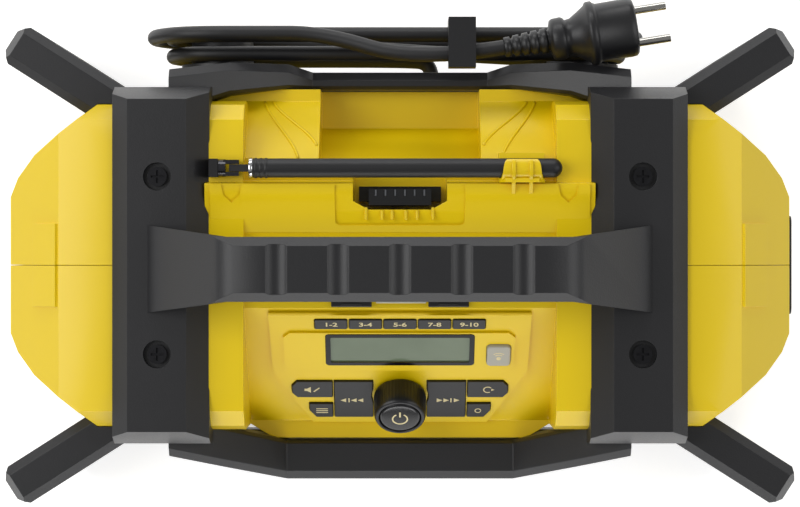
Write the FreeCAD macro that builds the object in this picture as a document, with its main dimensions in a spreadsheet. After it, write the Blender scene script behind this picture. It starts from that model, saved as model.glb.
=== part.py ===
# Jobsite radio: two-shell housing with end pods, roll cage, carry handle, sloped console,
# battery dock with aerial, and a mains lead wound on two cleats at the back.
# Millimetres. Origin at the centre of the rest plane, +X to the right, +Y to the back, +Z up.
import FreeCAD, Part
import math
import os
import Sketcher
from types import SimpleNamespace

V = FreeCAD.Vector
X_AXIS = V(1, 0, 0)
Y_AXIS = V(0, 1, 0)
Z_AXIS = V(0, 0, 1)

doc = FreeCAD.newDocument("JobsiteRadio")
sheet = doc.addObject("Spreadsheet::Sheet", "Sizes")

SIZES = {
    # housing
    "shell_wall": 3, "seam_gap": 0.3, "fit_gap": 0.3, "pod_end": 229, "pod_depth": 96,
    "pod_rise": 5, "pod_bottom": 18, "pod_nose_depth": 40, "pod_nose_top": 162,
    "pod_nose_bottom": 46, "core_half_width": 112, "core_depth": 104, "core_bottom": 14,
    "console_foot_depth": 93.5, "console_foot_height": 123, "console_head_depth": 24.6,
    "console_head_height": 195, "shelf_front": 18, "shelf_depth": 47, "shelf_rise": 10,
    "dock_depth": 62, "dock_drop": 17, "dock_back_depth": 97, "dock_back_height": 150,
    "bay_width": 94, "pad_width": 21, "pad_length": 48, "pad_height": 2,
    # console pieces
    "fascia_thick": 3, "fascia_wide": 152, "fascia_narrow": 104, "key_travel": 1,
    "key_stand": 1.5, "lcd_width": 84, "lcd_height": 23, "lcd_row": 68.6, "glass_thick": 1.6,
    "preset_width": 19, "preset_pitch": 20, "preset_height": 8, "preset_row": 89.6,
    "pair_button": 14, "pair_column": 57.6, "pair_row": 64.6, "wing_row_high": 33,
    "wing_row_low": 14, "wing_height": 14, "knob_radius": 15.6,
    "knob_height": 18, "knob_row": 27, "power_radius": 12, "power_travel": 1, "stem_radius": 3.2,
    # cage
    "arm_width": 25, "arm_height": 26, "arm_top": 185, "tip_x": 221, "tip_y": 127.4,
    "arm_turn": 32.5, "arm_root_x": 158, "lower_top": 34, "foot_height": 6, "foot_width": 20,
    "rail_width": 23, "rail_height": 24, "front_rail_top": 125, "rail_stand": 2,
    "rail_flat_half": 60, "rear_rail_top": 140, "rear_rail_width": 14, "strap_inner": 109.5,
    "strap_outer": 165, "strap_top": 212,
    "strap_screw_x": 138.5, "strap_screw_y": 50.7, "screw_radius": 5.5,
    # handle
    "handle_top": 264, "handle_thick": 24, "handle_width": 36, "handle_half": 96,
    "handle_root": 144, "handle_shift": -2, "groove_width": 12, "groove_pitch": 34.2,
    # aerial
    "aerial_y": 55.7, "aerial_rise": 1, "aerial_radius": 5.5, "aerial_root": -92, "aerial_tip": 93,
    "knuckle_radius": 5, "knuckle_x": -98, "clip_x": 69.8, "clip_width": 26,
    # speakers
    "speaker_x": 134, "speaker_z": 98, "speaker_radius": 38, "cone_radius": 31,
    "magnet_radius": 23, "magnet_length": 18, "face_half": 76,
    # mains lead
    "cord_radius": 4.5, "wind_pitch": 10.5, "wind_half": 107.5, "wind_first_radius": 30,
    "wind_stand": 22.3, "cleat_length": 34, "wind_z": 105, "plug_tilt": 9, "plug_length": 78, "pin_length": 19,
    "pin_radius": 2.4, "pin_pitch": 19, "plug_radius": 19,
    # inside
    "blade_pitch": 5.6, "blade_thick": 1, "board_thick": 1.6, "board_stand": 6, "board_edge": 7, "board_half_width": 95,
    "supply_end": 20, "transformer_length": 54, "transformer_width": 46, "transformer_height": 44,
    "transformer_x": -70, "gland_x": 20, "gland_radius": 8.5, "gland_reach": 2, "jack_radius": 1.75,
    # flaps over the two sockets
    "flap_x": 28, "flap_front": -24, "flap_back": -15, "flap_wide": 23.4, "flap_thick": 3,
    # rubber bumper on the right end
    "bumper_width": 58, "bumper_low": 66, "bumper_height": 92,
}
for line, (alias, value) in enumerate(SIZES.items(), 1):
    sheet.set("A%d" % line, alias)
    sheet.set("B%d" % line, str(value))
    sheet.setAlias("B%d" % line, alias)
doc.recompute()


def read_sizes():
    """Read every size from the sheet once."""
    return SimpleNamespace(**{alias: float(sheet.get(alias)) for alias in SIZES})


s = read_sizes()
s.shelf_height = s.console_head_height + s.shelf_rise
s.dock_height = s.shelf_height - s.dock_drop
s.aerial_z = s.shelf_height + s.aerial_rise
s.front_rail_depth = s.core_depth + s.rail_stand + s.rail_width
s.rear_rail_depth = s.core_depth + s.rear_rail_width
s.wind_y = s.core_depth + s.wind_stand
s.cleat_end = s.core_depth + s.cleat_length
s.pod_top = s.console_head_height + s.pod_rise
NODES = []


def node(item, label):
    """Give a document object its node name."""
    item.Label = label
    NODES.append(item)
    return item


def solid(label, shape):
    """A sub-part whose shape is worked out from the sheet."""
    item = doc.addObject("Part::Feature", label)
    item.Shape = shape.removeSplitter()
    item.Placement = FreeCAD.Placement()
    return node(item, label)


def prism(plane, points, low, high):
    """Extrude a polygon in one of the three main planes between two levels."""
    lay = {"xy": lambda a, b, c: V(a, b, c), "xz": lambda a, b, c: V(a, c, b),
           "yz": lambda a, b, c: V(c, a, b)}[plane]
    corners = [lay(a, b, low) for a, b in points]
    face = Part.Face(Part.makePolygon(corners + corners[:1]))
    return face.extrude(lay(0, 0, high) - lay(0, 0, low))


def box(low, high):
    """A box between two corners."""
    span = [high[i] - low[i] for i in range(3)]
    return Part.makeBox(span[0], span[1], span[2], V(*low))


def tube(radius, start, end):
    """A round bar between two points."""
    start, end = V(*start), V(*end)
    return Part.makeCylinder(radius, (end - start).Length, start, end - start)


def loft(sections):
    """A ruled solid through closed polygons of equal count."""
    wires = [Part.makePolygon([V(*p) for p in ring] + [V(*ring[0])]) for ring in sections]
    return Part.makeLoft(wires, True, True)


def join(shapes):
    """Fuse a list of shapes."""
    return shapes[0].fuse(shapes[1:]).removeSplitter() if len(shapes) > 1 else shapes[0]


def flip_x(shape):
    """The mirror image across the middle plane."""
    return shape.mirror(V(0, 0, 0), X_AXIS)


def both_sides(shape):
    """A shape and its mirror image as one group."""
    return Part.makeCompound([shape, flip_x(shape)])


def rounded(shape, radius, picks):
    """Fillet the edges that a test picks."""
    edges = [edge for edge in shape.Edges if picks(edge)]
    return shape.makeFillet(radius, edges) if edges else shape


def runs_along(edge, axis):
    """True for a straight edge parallel to an axis."""
    return (edge.Curve.TypeId == "Part::GeomLine"
            and edge.tangentAt(edge.FirstParameter).cross(axis).Length < 1e-6)


def outline(body, plane, corners, lift="0"):
    """A closed sketch on one of a body's own planes, each corner a pair of formulas of the sheet."""
    sketch = body.newObject("Sketcher::SketchObject", "outline")
    base = next(item for item in body.Origin.OriginFeatures if item.Role == plane)
    sketch.AttachmentSupport = [(base, "")]
    sketch.MapMode = "FlatFace"
    sketch.setExpression("AttachmentOffset.Base.z", lift)
    count = len(corners)
    spots = [V(10 * math.cos(2 * math.pi * i / count), 10 * math.sin(2 * math.pi * i / count), 0)
             for i in range(count)]
    for i in range(count):
        sketch.addGeometry(Part.LineSegment(spots[i], spots[(i + 1) % count]))
    for i in range(count):
        sketch.addConstraint(Sketcher.Constraint("Coincident", i, 2, (i + 1) % count, 1))
    for i, corner in enumerate(corners):
        for kind, formula in zip(("DistanceX", "DistanceY"), corner):
            number = sketch.addConstraint(Sketcher.Constraint(kind, -1, 1, i, 1, 10))
            sketch.setExpression("Constraints[%d]" % number, formula)
    return sketch


def plate(label, corners, low, thick, radius=None, picks=None):
    """A padded outline whose chosen edges are rounded; every size is a formula of the sheet."""
    body = doc.addObject("PartDesign::Body", label)
    pad = body.newObject("PartDesign::Pad", "pad")
    pad.Profile = outline(body, "XY_Plane", corners, low)
    pad.setExpression("Length", thick)
    doc.recompute()
    if radius:
        names = ["Edge%d" % (i + 1) for i, edge in enumerate(pad.Shape.Edges) if picks(edge)]
        fillet = body.newObject("PartDesign::Fillet", "fillet")
        fillet.Base = (pad, names)
        fillet.setExpression("Radius", radius)
        doc.recompute()
    return node(body, label)


def rectangle(wide, high, x, y):
    """Corner formulas of a rectangle about a point."""
    return [("%s - (%s) / 2" % (x, wide), "%s - (%s) / 2" % (y, high)),
            ("%s + (%s) / 2" % (x, wide), "%s - (%s) / 2" % (y, high)),
            ("%s + (%s) / 2" % (x, wide), "%s + (%s) / 2" % (y, high)),
            ("%s - (%s) / 2" % (x, wide), "%s + (%s) / 2" % (y, high))]


def upright(edge):
    """True for an edge across a plate."""
    return runs_along(edge, Z_AXIS)


def turned_body(label, profile, placement):
    """A half section of radius and height turned about its own upright axis."""
    body = doc.addObject("PartDesign::Body", label)
    turn = body.newObject("PartDesign::Revolution", "turn")
    turn.Profile = outline(body, "XZ_Plane", profile)
    turn.ReferenceAxis = (turn.Profile[0], ["V_Axis"])
    turn.Angle = 360
    body.Placement = placement
    doc.recompute()
    return node(body, label)


def block(label, low, span):
    """A box whose corner and edges are formulas of the sheet."""
    item = doc.addObject("Part::Box", label)
    for name, formula in zip(("Length", "Width", "Height"), span):
        item.setExpression(name, formula)
    for axis, formula in zip("xyz", low):
        item.setExpression("Placement.Base." + axis, formula)
    return item


# console frame: origin at the foot of the slope, local Y up the slope, local Z out of it
slope_run = s.console_foot_depth - s.console_head_depth
slope_rise = s.console_head_height - s.console_foot_height
slope_angle = math.degrees(math.atan2(slope_rise, slope_run))
CONSOLE = FreeCAD.Placement(V(0, -s.console_foot_depth, s.console_foot_height),
                            FreeCAD.Rotation(X_AXIS, slope_angle))
slope_length = math.hypot(slope_run, slope_rise)


def on_console(shape):
    """Move a shape from the console's own frame into place."""
    return shape.transformed(CONSOLE.toMatrix())


def core_profile(inset):
    """Side view of the middle of the housing, drawn in by a wall."""
    points = [(-s.core_depth, s.core_bottom), (-s.core_depth, s.console_foot_height),
              (-s.console_foot_depth, s.console_foot_height),
              (-s.console_head_depth, s.console_head_height),
              (s.shelf_front, s.console_head_height), (s.shelf_depth - 6, s.shelf_height),
              (s.shelf_depth, s.shelf_height), (s.shelf_depth + 2, s.dock_height),
              (s.dock_depth, s.dock_height), (s.dock_back_depth, s.dock_back_height),
              (s.core_depth, s.dock_back_height), (s.core_depth, s.core_bottom)]
    face = Part.Face(Part.makePolygon([V(0, y, z) for y, z in points + points[:1]]))
    if inset:
        face = face.makeOffset2D(-inset, join=2)
    return face


def pod_views():
    """Plan, front and end outlines of the right end pod."""
    plan = [(90, s.pod_depth), (s.pod_end - 57, s.pod_depth), (s.pod_end - 44, s.pod_depth - 11),
            (s.pod_end - 32, s.pod_depth - 20), (s.pod_end - 16, s.pod_depth - 32),
            (s.pod_end - 5, s.pod_nose_depth + 11), (s.pod_end, s.pod_nose_depth)]
    plan += [(x, -y) for x, y in reversed(plan)]
    front = [(90, s.pod_top), (168, s.pod_top), (197, s.pod_top - 6),
             (s.pod_end, s.pod_nose_top), (s.pod_end, s.pod_nose_bottom),
             (205, s.pod_bottom), (90, s.pod_bottom)]
    end = [(s.pod_depth, s.pod_bottom), (s.pod_depth, s.pod_top - 30), (s.pod_depth - 3, s.pod_top - 14),
           (s.pod_depth - 12, s.pod_top - 3), (s.pod_depth - 26, s.pod_top)]
    end += [(-y, z) for y, z in reversed(end)]
    return plan, front, end


def pod(inset):
    """Right end pod as the common space of its three outlines."""
    plan, front, end = pod_views()
    reach = s.pod_end + 10
    shapes = []
    for points, lay, push in (
            (plan, lambda a, b: V(a, b, 0), V(0, 0, reach)),
            (front, lambda a, b: V(a, -reach, b), V(0, 2 * reach, 0)),
            (end, lambda a, b: V(80, a, b), V(reach, 0, 0))):
        face = Part.Face(Part.makePolygon([lay(a, b) for a, b in points + points[:1]]))
        if inset:
            face = face.makeOffset2D(-inset, join=2)
        shapes.append(face.extrude(push))
    return shapes[0].common(shapes[1]).common(shapes[2])


def envelope(inset):
    """Housing outside (inset 0) or its hollow (inset of one wall)."""
    half = s.core_half_width - inset
    core = core_profile(inset)
    core.translate(V(-half, 0, 0))
    middle = core.extrude(V(2 * half, 0, 0))
    corners = [(s.core_half_width, s.core_depth), (s.core_half_width, -s.core_depth + 30),
               (s.face_half + 20, -s.core_depth + 12), (s.face_half, -s.core_depth)]
    corners += [(-x, y) for x, y in reversed(corners)]
    plan = Part.Face(Part.makePolygon([V(x, y, 0) for x, y in corners + corners[:1]]))
    if inset:
        plan = plan.makeOffset2D(-inset, join=2)
    middle = middle.common(plan.extrude(V(0, 0, 300)))
    end = pod(inset)
    return join([middle, end, flip_x(end)])


# battery bay: a recess in the sloping dock, open to the top and to the back
def bay_space():
    """Space of the battery bay cut into the dock."""
    half = s.bay_width / 2
    floor = [(s.dock_depth - 4, s.dock_height + 20), (s.dock_depth - 4, s.dock_height - 32),
             (s.core_depth - 22, s.dock_back_height - 26), (s.core_depth + 5, s.dock_back_height - 26),
             (s.core_depth + 5, s.dock_height + 20)]
    return prism("yz", floor, -half, half)


def notch_space():
    """Hexagonal notch in the shelf that shows the terminal block."""
    outline = [(-27, 60), (27, 60), (27, 37), (18, 32), (-18, 32), (-27, 37)]
    return prism("xy", outline, s.dock_height - 30, s.shelf_height + 5)


def housing():
    """Front and back shells, split at the seam."""
    outer = envelope(0)
    hollow = envelope(s.shell_wall)
    bay = bay_space()
    notch = notch_space()
    wall = s.shell_wall
    bay_skin = prism("yz", [(s.dock_depth - 4 - wall, s.dock_height - 2),
                            (s.dock_depth - 4 - wall, s.dock_height - 32 - wall),
                            (s.core_depth - 22, s.dock_back_height - 26 - wall),
                            (s.core_depth - 1, s.dock_back_height - 26 - wall),
                            (s.core_depth - 1, s.dock_back_height - 2)],
                     -s.bay_width / 2 - wall, s.bay_width / 2 + wall)
    notch_skin = prism("xy", [(-30, 60), (30, 60), (30, 35), (20, 29), (-20, 29), (-30, 35)],
                       s.dock_height - 33, s.shelf_height - 2)
    shell = outer.cut(hollow)
    shell = shell.fuse([bay_skin.common(outer), notch_skin.common(outer)])
    shell = shell.cut(Part.makeCompound([bay])).cut(notch)
    reach = s.pod_end + 10
    gap = s.seam_gap / 2
    front = shell.common(box((-reach, -reach, 0), (reach, -gap, 260)))
    back = shell.common(box((-reach, gap, 0), (reach, reach, 260)))
    return front, back


front_shell, rear_shell = housing()
clear_of_housing = envelope(-s.fit_gap)
speaker_seat_y = -s.pod_depth + s.shell_wall

# openings in the front shell: speakers, display window, sockets under the flaps
window = on_console(box((-47, 5, -12), (47, 82, 1)))
pair_window = on_console(box((s.pair_column - 5, s.pair_row - 5, -12), (s.pair_column + 5, s.pair_row + 5, 1)))
speaker_holes = both_sides(tube(s.speaker_radius - 4, (s.speaker_x, -s.pod_depth - 5, s.speaker_z),
                                (s.speaker_x, -s.pod_depth + 15, s.speaker_z)))
FLAP_X = s.flap_x
FLAP_Y = (s.flap_front, s.flap_back)
socket_holes = Part.makeCompound([
    box((-FLAP_X - 5, FLAP_Y[0] + 1.5, s.console_head_height - 6),
        (-FLAP_X + 5, FLAP_Y[1] - 1.5, s.console_head_height + 2)),
    box((FLAP_X - 8, FLAP_Y[0] + 1.5, s.console_head_height - 6),
        (FLAP_X + 8, FLAP_Y[1] - 1.5, s.console_head_height + 2))])
front_shell = front_shell.cut(window).cut(pair_window).cut(speaker_holes).cut(socket_holes)


def raised_pad(side):
    """Raised rectangle on the pod's sloping nose, half on each shell."""
    slope = math.degrees(math.atan2(s.pod_top - 6 - s.pod_nose_top, s.pod_end - 197))
    block = box((-s.pad_width / 2, -s.pad_length / 2, -1), (s.pad_width / 2, s.pad_length / 2, s.pad_height))
    middle = V(205, 0, s.pod_top - 14)
    block.Placement = FreeCAD.Placement(middle, FreeCAD.Rotation(Y_AXIS, slope))
    return block if side > 0 else flip_x(block)


reach = s.pod_end + 10
for side in (1, -1):
    pad = raised_pad(side)
    front_shell = front_shell.fuse(pad.common(box((-reach, -reach, 0), (reach, -s.seam_gap / 2, 260))))
    rear_shell = rear_shell.fuse(pad.common(box((-reach, s.seam_gap / 2, 0), (reach, reach, 260))))
solid("front_housing", front_shell)
solid("rear_housing", rear_shell)


# roll cage
turn = math.radians(s.arm_turn)
arm_root_y = s.tip_y - (s.tip_x - s.arm_root_x) * math.tan(turn)
arm_length = (s.tip_x - s.arm_root_x) / math.cos(turn) + 6.5
arm_bottom = s.arm_top - s.arm_height


def corner_guard():
    """Front right guard: upper arm, corner post and lower arm as one bent bar."""
    end = arm_length
    inner = end - 22
    half = s.arm_width / 2
    side_view = [(-14, s.foot_height), (end - 14, s.foot_height), (end, 26), (end, s.arm_top - 9),
                 (end - 5, s.arm_top), (-14, s.arm_top), (-14, arm_bottom), (inner - 8, arm_bottom),
                 (inner, arm_bottom - 8), (inner, s.lower_top + 8), (inner - 8, s.lower_top),
                 (-14, s.lower_top)]
    bar = prism("xz", side_view, -half, half)
    edge = 6
    plan = [(-14, -half), (end - edge, -half), (end, -half + edge), (end, half - edge),
            (end - edge, half), (-14, half)]
    bar = bar.common(prism("xy", plan, 0, s.arm_top))
    cut = 5
    section = [(-half, 0), (half, 0), (half, s.arm_top - cut), (half - cut, s.arm_top),
               (-half + cut, s.arm_top), (-half, s.arm_top - cut)]
    bar = bar.common(prism("yz", section, -20, end + 5))
    bar.rotate(V(0, 0, 0), Z_AXIS, -s.arm_turn)
    bar.translate(V(s.arm_root_x, -arm_root_y, 0))
    return bar


def bar_section(x, y_out, y_in, low, high, cut=5):
    """Six-sided section of a rail at one station; y_out is the outer face."""
    way = 1 if y_out > y_in else -1
    return [(x, y_in, low), (x, y_out, low), (x, y_out, high - cut), (x, y_out - way * cut, high),
            (x, y_in + way * 2, high), (x, y_in, high - 2)]


def rail(stations):
    """A rail lofted through its stations and their mirror images."""
    rings = [bar_section(*station) for station in stations]
    rings += [bar_section(-station[0], *station[1:]) for station in reversed(stations)]
    return loft(rings)


strap_mid = (s.strap_inner + s.strap_outer) / 2
front_stations = [(strap_mid - 3, -111, -86, 160, s.arm_top), (104, -119, -95, 138, 162),
                  (68, -s.front_rail_depth, 0.6 - s.front_rail_depth + s.rail_width, s.front_rail_top - s.rail_height, s.front_rail_top),
                  (s.rail_flat_half - 3, -s.front_rail_depth, 0.6 - s.front_rail_depth + s.rail_width, s.front_rail_top - s.rail_height, s.front_rail_top)]
rear_stations = [(strap_mid - 3, 114, 88, 160, s.arm_top), (100, 119, 100, 145, 170),
                 (66, s.rear_rail_depth + 1, s.core_depth + 0.5, 125, 152),
                 (52, s.rear_rail_depth - 3, s.core_depth + 0.5, s.rear_rail_top - 20, s.rear_rail_top)]


def lower_stations(way):
    """Stations of a lower rail, in front (-1) or at the back (1)."""
    low, high = s.foot_height, s.lower_top - 4
    depth = s.front_rail_depth if way < 0 else s.rear_rail_depth
    return [(150, way * 108, way * 90, low, high), (115, way * depth, way * (s.core_depth + 1), low, high),
            (60, way * depth, way * (s.core_depth + 1), low, high)]


def strap():
    """Right strap: a saddle over the housing with bevelled long edges."""
    side_view = [(-105, 158), (-103, 190), (-95, s.strap_top), (95, s.strap_top), (103, 190), (105, 158)]
    front_view = [(s.strap_inner, 150), (s.strap_inner, s.strap_top - 12), (122, s.strap_top),
                  (155.6, s.strap_top), (s.strap_outer, s.strap_top - 9), (s.strap_outer, 150)]
    saddle = prism("yz", side_view, s.strap_inner, s.strap_outer)
    saddle = saddle.common(prism("xz", front_view, -130, 130))
    return saddle


screw_seats = Part.makeCompound([
    tube(s.screw_radius + 2.5, (s.strap_screw_x, y, s.strap_top - 4), (s.strap_screw_x, y, s.strap_top + 5))
    for y in (-s.strap_screw_y, s.strap_screw_y)])


def handle():
    """Carry handle: flat grip between two sloping roots, with five finger grooves."""
    half, root = s.handle_half, s.handle_root
    top, bottom = s.handle_top, s.handle_top - s.handle_thick
    side_view = [(-root, s.strap_top), (-half - 6, top - 6), (-half + 4, top), (half - 4, top),
                 (half + 6, top - 6), (root, s.strap_top), (s.strap_inner + 14, s.strap_top),
                 (half - 2, bottom), (-half + 2, bottom), (-s.strap_inner - 14, s.strap_top)]
    middle = s.handle_shift
    wide = s.handle_width / 2
    bar = prism("xz", side_view, middle - wide - 8, middle + wide + 8)
    plan = [(-root, middle - wide - 7), (-half, middle - wide), (half, middle - wide),
            (root, middle - wide - 7), (root, middle + wide + 7), (half, middle + wide),
            (-half, middle + wide), (-root, middle + wide + 7)]
    bar = bar.common(prism("xy", plan, 150, top + 5))
    section = [(middle - wide - 8, 150), (middle - wide - 8, top - 28), (middle - wide, top - 7),
               (middle - wide + 5, top), (middle + wide - 5, top), (middle + wide, top - 7),
               (middle + wide + 8, top - 28), (middle + wide + 8, 150)]
    bar = bar.common(prism("yz", section, -root - 5, root + 5))
    groove_radius = (s.groove_width ** 2 / 4 + 2.2 ** 2) / (2 * 2.2)
    for index in range(-2, 3):
        x = index * s.groove_pitch
        groove = tube(groove_radius, (x, middle - wide + 4, top - 2.2 + groove_radius),
                      (x, middle + wide - 4, top - 2.2 + groove_radius))
        bar = bar.cut(groove)
    return bar


carry_handle = handle()
front_upper = rail(front_stations)
rear_upper = rail(rear_stations)
guard = corner_guard()
guards = {}
for way, rails in ((-1, front_upper), (1, rear_upper)):
    for side in (1, -1):
        piece = guard if way < 0 else guard.mirror(V(0, 0, 0), Y_AXIS)
        piece = piece if side > 0 else flip_x(piece)
        guards[way, side] = piece.cut(clear_of_housing).cut(rails)
saddle = strap().cut(clear_of_housing).cut(screw_seats)
for way in (-1, 1):
    saddle = saddle.cut(guards[way, 1])
saddle = saddle.cut(front_upper).cut(rear_upper)
lower = {}
for way in (-1, 1):
    bar = rail(lower_stations(way)).cut(clear_of_housing)
    lower[way] = bar
    for side in (1, -1):
        guards[way, side] = guards[way, side].cut(bar)


def largest(shape):
    """The main solid where a cut leaves slivers."""
    return max(shape.Solids, key=lambda item: item.Volume)


WAY_NAMES = {-1: "front", 1: "rear"}
SIDE_NAMES = {1: "right", -1: "left"}
for (way, side), piece in guards.items():
    solid("corner_guard_%s_%s" % (WAY_NAMES[way], SIDE_NAMES[side]), largest(piece))
solid("front_upper_rail", largest(front_upper.cut(clear_of_housing)))
solid("rear_upper_rail", largest(rear_upper.cut(clear_of_housing)))
solid("front_lower_rail", largest(lower[-1]))
solid("rear_lower_rail", largest(lower[1]))
solid("strap_right", largest(saddle))
solid("strap_left", flip_x(largest(saddle)))
solid("carry_handle", carry_handle)


# control panel: a yellow fascia on the slope, its keys, display, knob and button
def rounded_block(wide, high, low, top, middle_x, middle_y, radius):
    """A plate with rounded corners, in the console's own frame."""
    block = box((middle_x - wide / 2, middle_y - high / 2, low), (middle_x + wide / 2, middle_y + high / 2, top))
    if radius:
        block = rounded(block, radius, lambda edge: runs_along(edge, Z_AXIS))
    return block


knob_base = s.fascia_thick + 0.6


def key_outline(points, side):
    """Corner formulas of a wing key on the left (-1) or right (1), kept in turning order."""
    return [("%s * (%s)" % (side, x), y) for x, y in (points if side > 0 else reversed(points))]


HIGH = ("Sizes.wing_row_high - Sizes.wing_height / 2", "Sizes.wing_row_high + Sizes.wing_height / 2")
LOW = ("Sizes.wing_row_low - Sizes.wing_height / 2 + 1", "Sizes.wing_row_low + Sizes.wing_height / 2 - 1")
MODE_KEY = [("40", HIGH[0]), ("61", HIGH[0]), ("64", HIGH[0] + " + 4"), ("64", HIGH[1] + " - 4"),
            ("61", HIGH[1]), ("40", HIGH[1])]
ENTER_KEY = [("40", LOW[0]), ("50", LOW[0]), ("54", LOW[0] + " + 6"), ("54", LOW[1]), ("40", LOW[1])]
SEEK_KEY = [("16", LOW[0]), ("39", LOW[0]), ("39", HIGH[1]), ("16", HIGH[1])]
KEY_FLOOR = "Sizes.key_travel + 0.5"
KEY_RISE = "Sizes.fascia_thick + Sizes.key_stand - Sizes.key_travel - 0.5"
key_bodies = []
for index in range(5):
    corners = rectangle("Sizes.preset_width", "Sizes.preset_height", "%d * Sizes.preset_pitch" % (index - 2),
                        "Sizes.preset_row")
    key_bodies.append(plate("preset_key_%d" % (index + 1), corners, KEY_FLOOR, KEY_RISE + " - 0.5", "1", upright))
key_bodies.append(plate("pair_key", rectangle("Sizes.pair_button", "Sizes.pair_button + 3", "Sizes.pair_column",
                                              "Sizes.pair_row"), KEY_FLOOR + " + 1", KEY_RISE + " + 1", "2.5", upright))
for side, names in ((-1, ("mute_key", "menu_key", "seek_back_key")),
                    (1, ("mode_key", "enter_key", "seek_forward_key"))):
    for name, points in zip(names, (MODE_KEY, ENTER_KEY, SEEK_KEY)):
        key_bodies.append(plate(name, key_outline(points, side), KEY_FLOOR, KEY_RISE))
        if points is SEEK_KEY:
            bite = key_bodies[-1].newObject("PartDesign::SubtractiveCylinder", "bite")
            bite.setExpression("Radius", "Sizes.knob_radius + 1.2")
            bite.setExpression("Placement.Base.y", "Sizes.knob_row")
            bite.Height = 30
doc.recompute()
keys = [body.Shape.copy() for body in key_bodies]
for body in key_bodies:
    body.Placement = CONSOLE


def grown(shape, gap):
    """Clearance space round a key: its outline widened and run through the fascia."""
    face = max((f for f in shape.Faces if abs(f.normalAt(0, 0).z) > 0.99), key=lambda f: f.CenterOfMass.z)
    wide = Part.Face(face.OuterWire).makeOffset2D(gap, join=2)
    wide.translate(V(0, 0, -20))
    return wide.extrude(V(0, 0, 40))


plate_outline = [(-s.fascia_narrow / 2, 2), (s.fascia_narrow / 2, 2), (s.fascia_wide / 2 - 1, 48),
                 (s.fascia_wide / 2, slope_length - 3), (-s.fascia_wide / 2, slope_length - 3),
                 (-s.fascia_wide / 2 + 1, 48)]
fascia = prism("xy", plate_outline, s.fit_gap, s.fascia_thick)
plateau = prism("xy", [(-64, 50), (63, 50), (67, 54), (67, 79), (63, 83), (-64, 83), (-68, 79), (-68, 54)],
                s.fascia_thick - 1, s.fascia_thick + 1.5)
fascia = fascia.fuse(plateau)
for shape in keys:
    fascia = fascia.cut(grown(shape, s.fit_gap))
glass_seat = rounded_block(s.lcd_width + 2 * s.fit_gap, s.lcd_height + 2 * s.fit_gap,
                           s.fascia_thick + 1 - s.glass_thick, s.fascia_thick + 9, 0, s.lcd_row, 1)
view_hole = rounded_block(s.lcd_width - 6, s.lcd_height - 5, -5, 20, 0, s.lcd_row, 0)
knob_bore = tube(5, (0, s.knob_row, -20), (0, s.knob_row, 30))
fascia = fascia.cut(glass_seat).cut(view_hole).cut(knob_bore)
solid("control_fascia", on_console(fascia))
window_pane = plate("display_window", rectangle("Sizes.lcd_width", "Sizes.lcd_height", "0", "Sizes.lcd_row"),
                    "Sizes.fascia_thick + 1 - Sizes.glass_thick", "Sizes.glass_thick", "1", upright)
module = plate("display_module", rectangle("Sizes.lcd_width - 8", "Sizes.lcd_height - 7", "0", "Sizes.lcd_row"),
               "-6", "Sizes.fascia_thick + 5")
key_board = plate("key_board", [("-44", "8"), ("44", "8"), ("44", "Sizes.preset_row - 9.6"),
                                ("-44", "Sizes.preset_row - 9.6")], "-12 - Sizes.board_thick", "Sizes.board_thick")
for body in (window_pane, module, key_board):
    body.Placement = CONSOLE

# volume knob round a fixed bush; the power button sits in its end
knob_seat = CONSOLE.multiply(FreeCAD.Placement(V(0, s.knob_row, 0), FreeCAD.Rotation()))
KNOB_BASE = "Sizes.fascia_thick + 0.6"
KNOB_TOP = "Sizes.fascia_thick + 0.6 + Sizes.knob_height"
STEM = "Sizes.stem_radius"
turned_body("volume_knob", [
    (STEM + " + 1.4", KNOB_BASE), ("Sizes.knob_radius", KNOB_BASE), ("Sizes.knob_radius", KNOB_TOP + " - 2"),
    ("Sizes.knob_radius - 0.6", KNOB_TOP + " - 0.6"), ("Sizes.knob_radius - 2", KNOB_TOP),
    ("Sizes.power_radius + 0.4", KNOB_TOP), ("Sizes.power_radius + 0.4", KNOB_TOP + " - 4"),
    (STEM + " + 1.4", KNOB_TOP + " - 4")], knob_seat)
CAP_FLOOR = KNOB_TOP + " - 3.6 + Sizes.power_travel"
turned_body("power_button", [
    ("0", "-3.6"), (STEM + " - 1", "-3.6"), (STEM + " - 1", CAP_FLOOR), ("Sizes.power_radius", CAP_FLOOR),
    ("Sizes.power_radius", KNOB_TOP + " + 0.6"), ("0", KNOB_TOP + " + 0.6")], knob_seat)
bush = tube(s.stem_radius + 1.3, (0, s.knob_row, -8), (0, s.knob_row, knob_base + 6))
bush = bush.fuse(box((-9, s.knob_row - 9, -12), (9, s.knob_row + 9, -5)))
bush = bush.cut(tube(s.stem_radius - 0.9, (0, s.knob_row, -5), (0, s.knob_row, knob_base + 7)))
solid("volume_encoder", on_console(bush))

# two sockets under hinged rubber flaps behind the console
flap_low = s.console_head_height + s.fit_gap
for name, x in (("aux_flap", "-Sizes.flap_x"), ("usb_flap", "Sizes.flap_x")):
    plate(name, rectangle("Sizes.flap_wide", "Sizes.flap_back - Sizes.flap_front", x,
                          "(Sizes.flap_front + Sizes.flap_back) / 2"),
          "Sizes.console_head_height + Sizes.fit_gap", "Sizes.flap_thick", "1",
          lambda edge: edge.CenterOfMass.z > flap_low + s.flap_thick - 0.1)
shelf_under = s.console_head_height - s.shell_wall
jack_mid = (FLAP_Y[0] + FLAP_Y[1]) / 2
jack = box((-FLAP_X - 4.7, FLAP_Y[0] + 1.8, shelf_under - 14), (-FLAP_X + 4.7, FLAP_Y[1] - 1.8, flap_low - 1))
jack = jack.cut(tube(s.jack_radius, (-FLAP_X, jack_mid, shelf_under - 11), (-FLAP_X, jack_mid, flap_low + 1)))
solid("aux_jack", jack)
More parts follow.
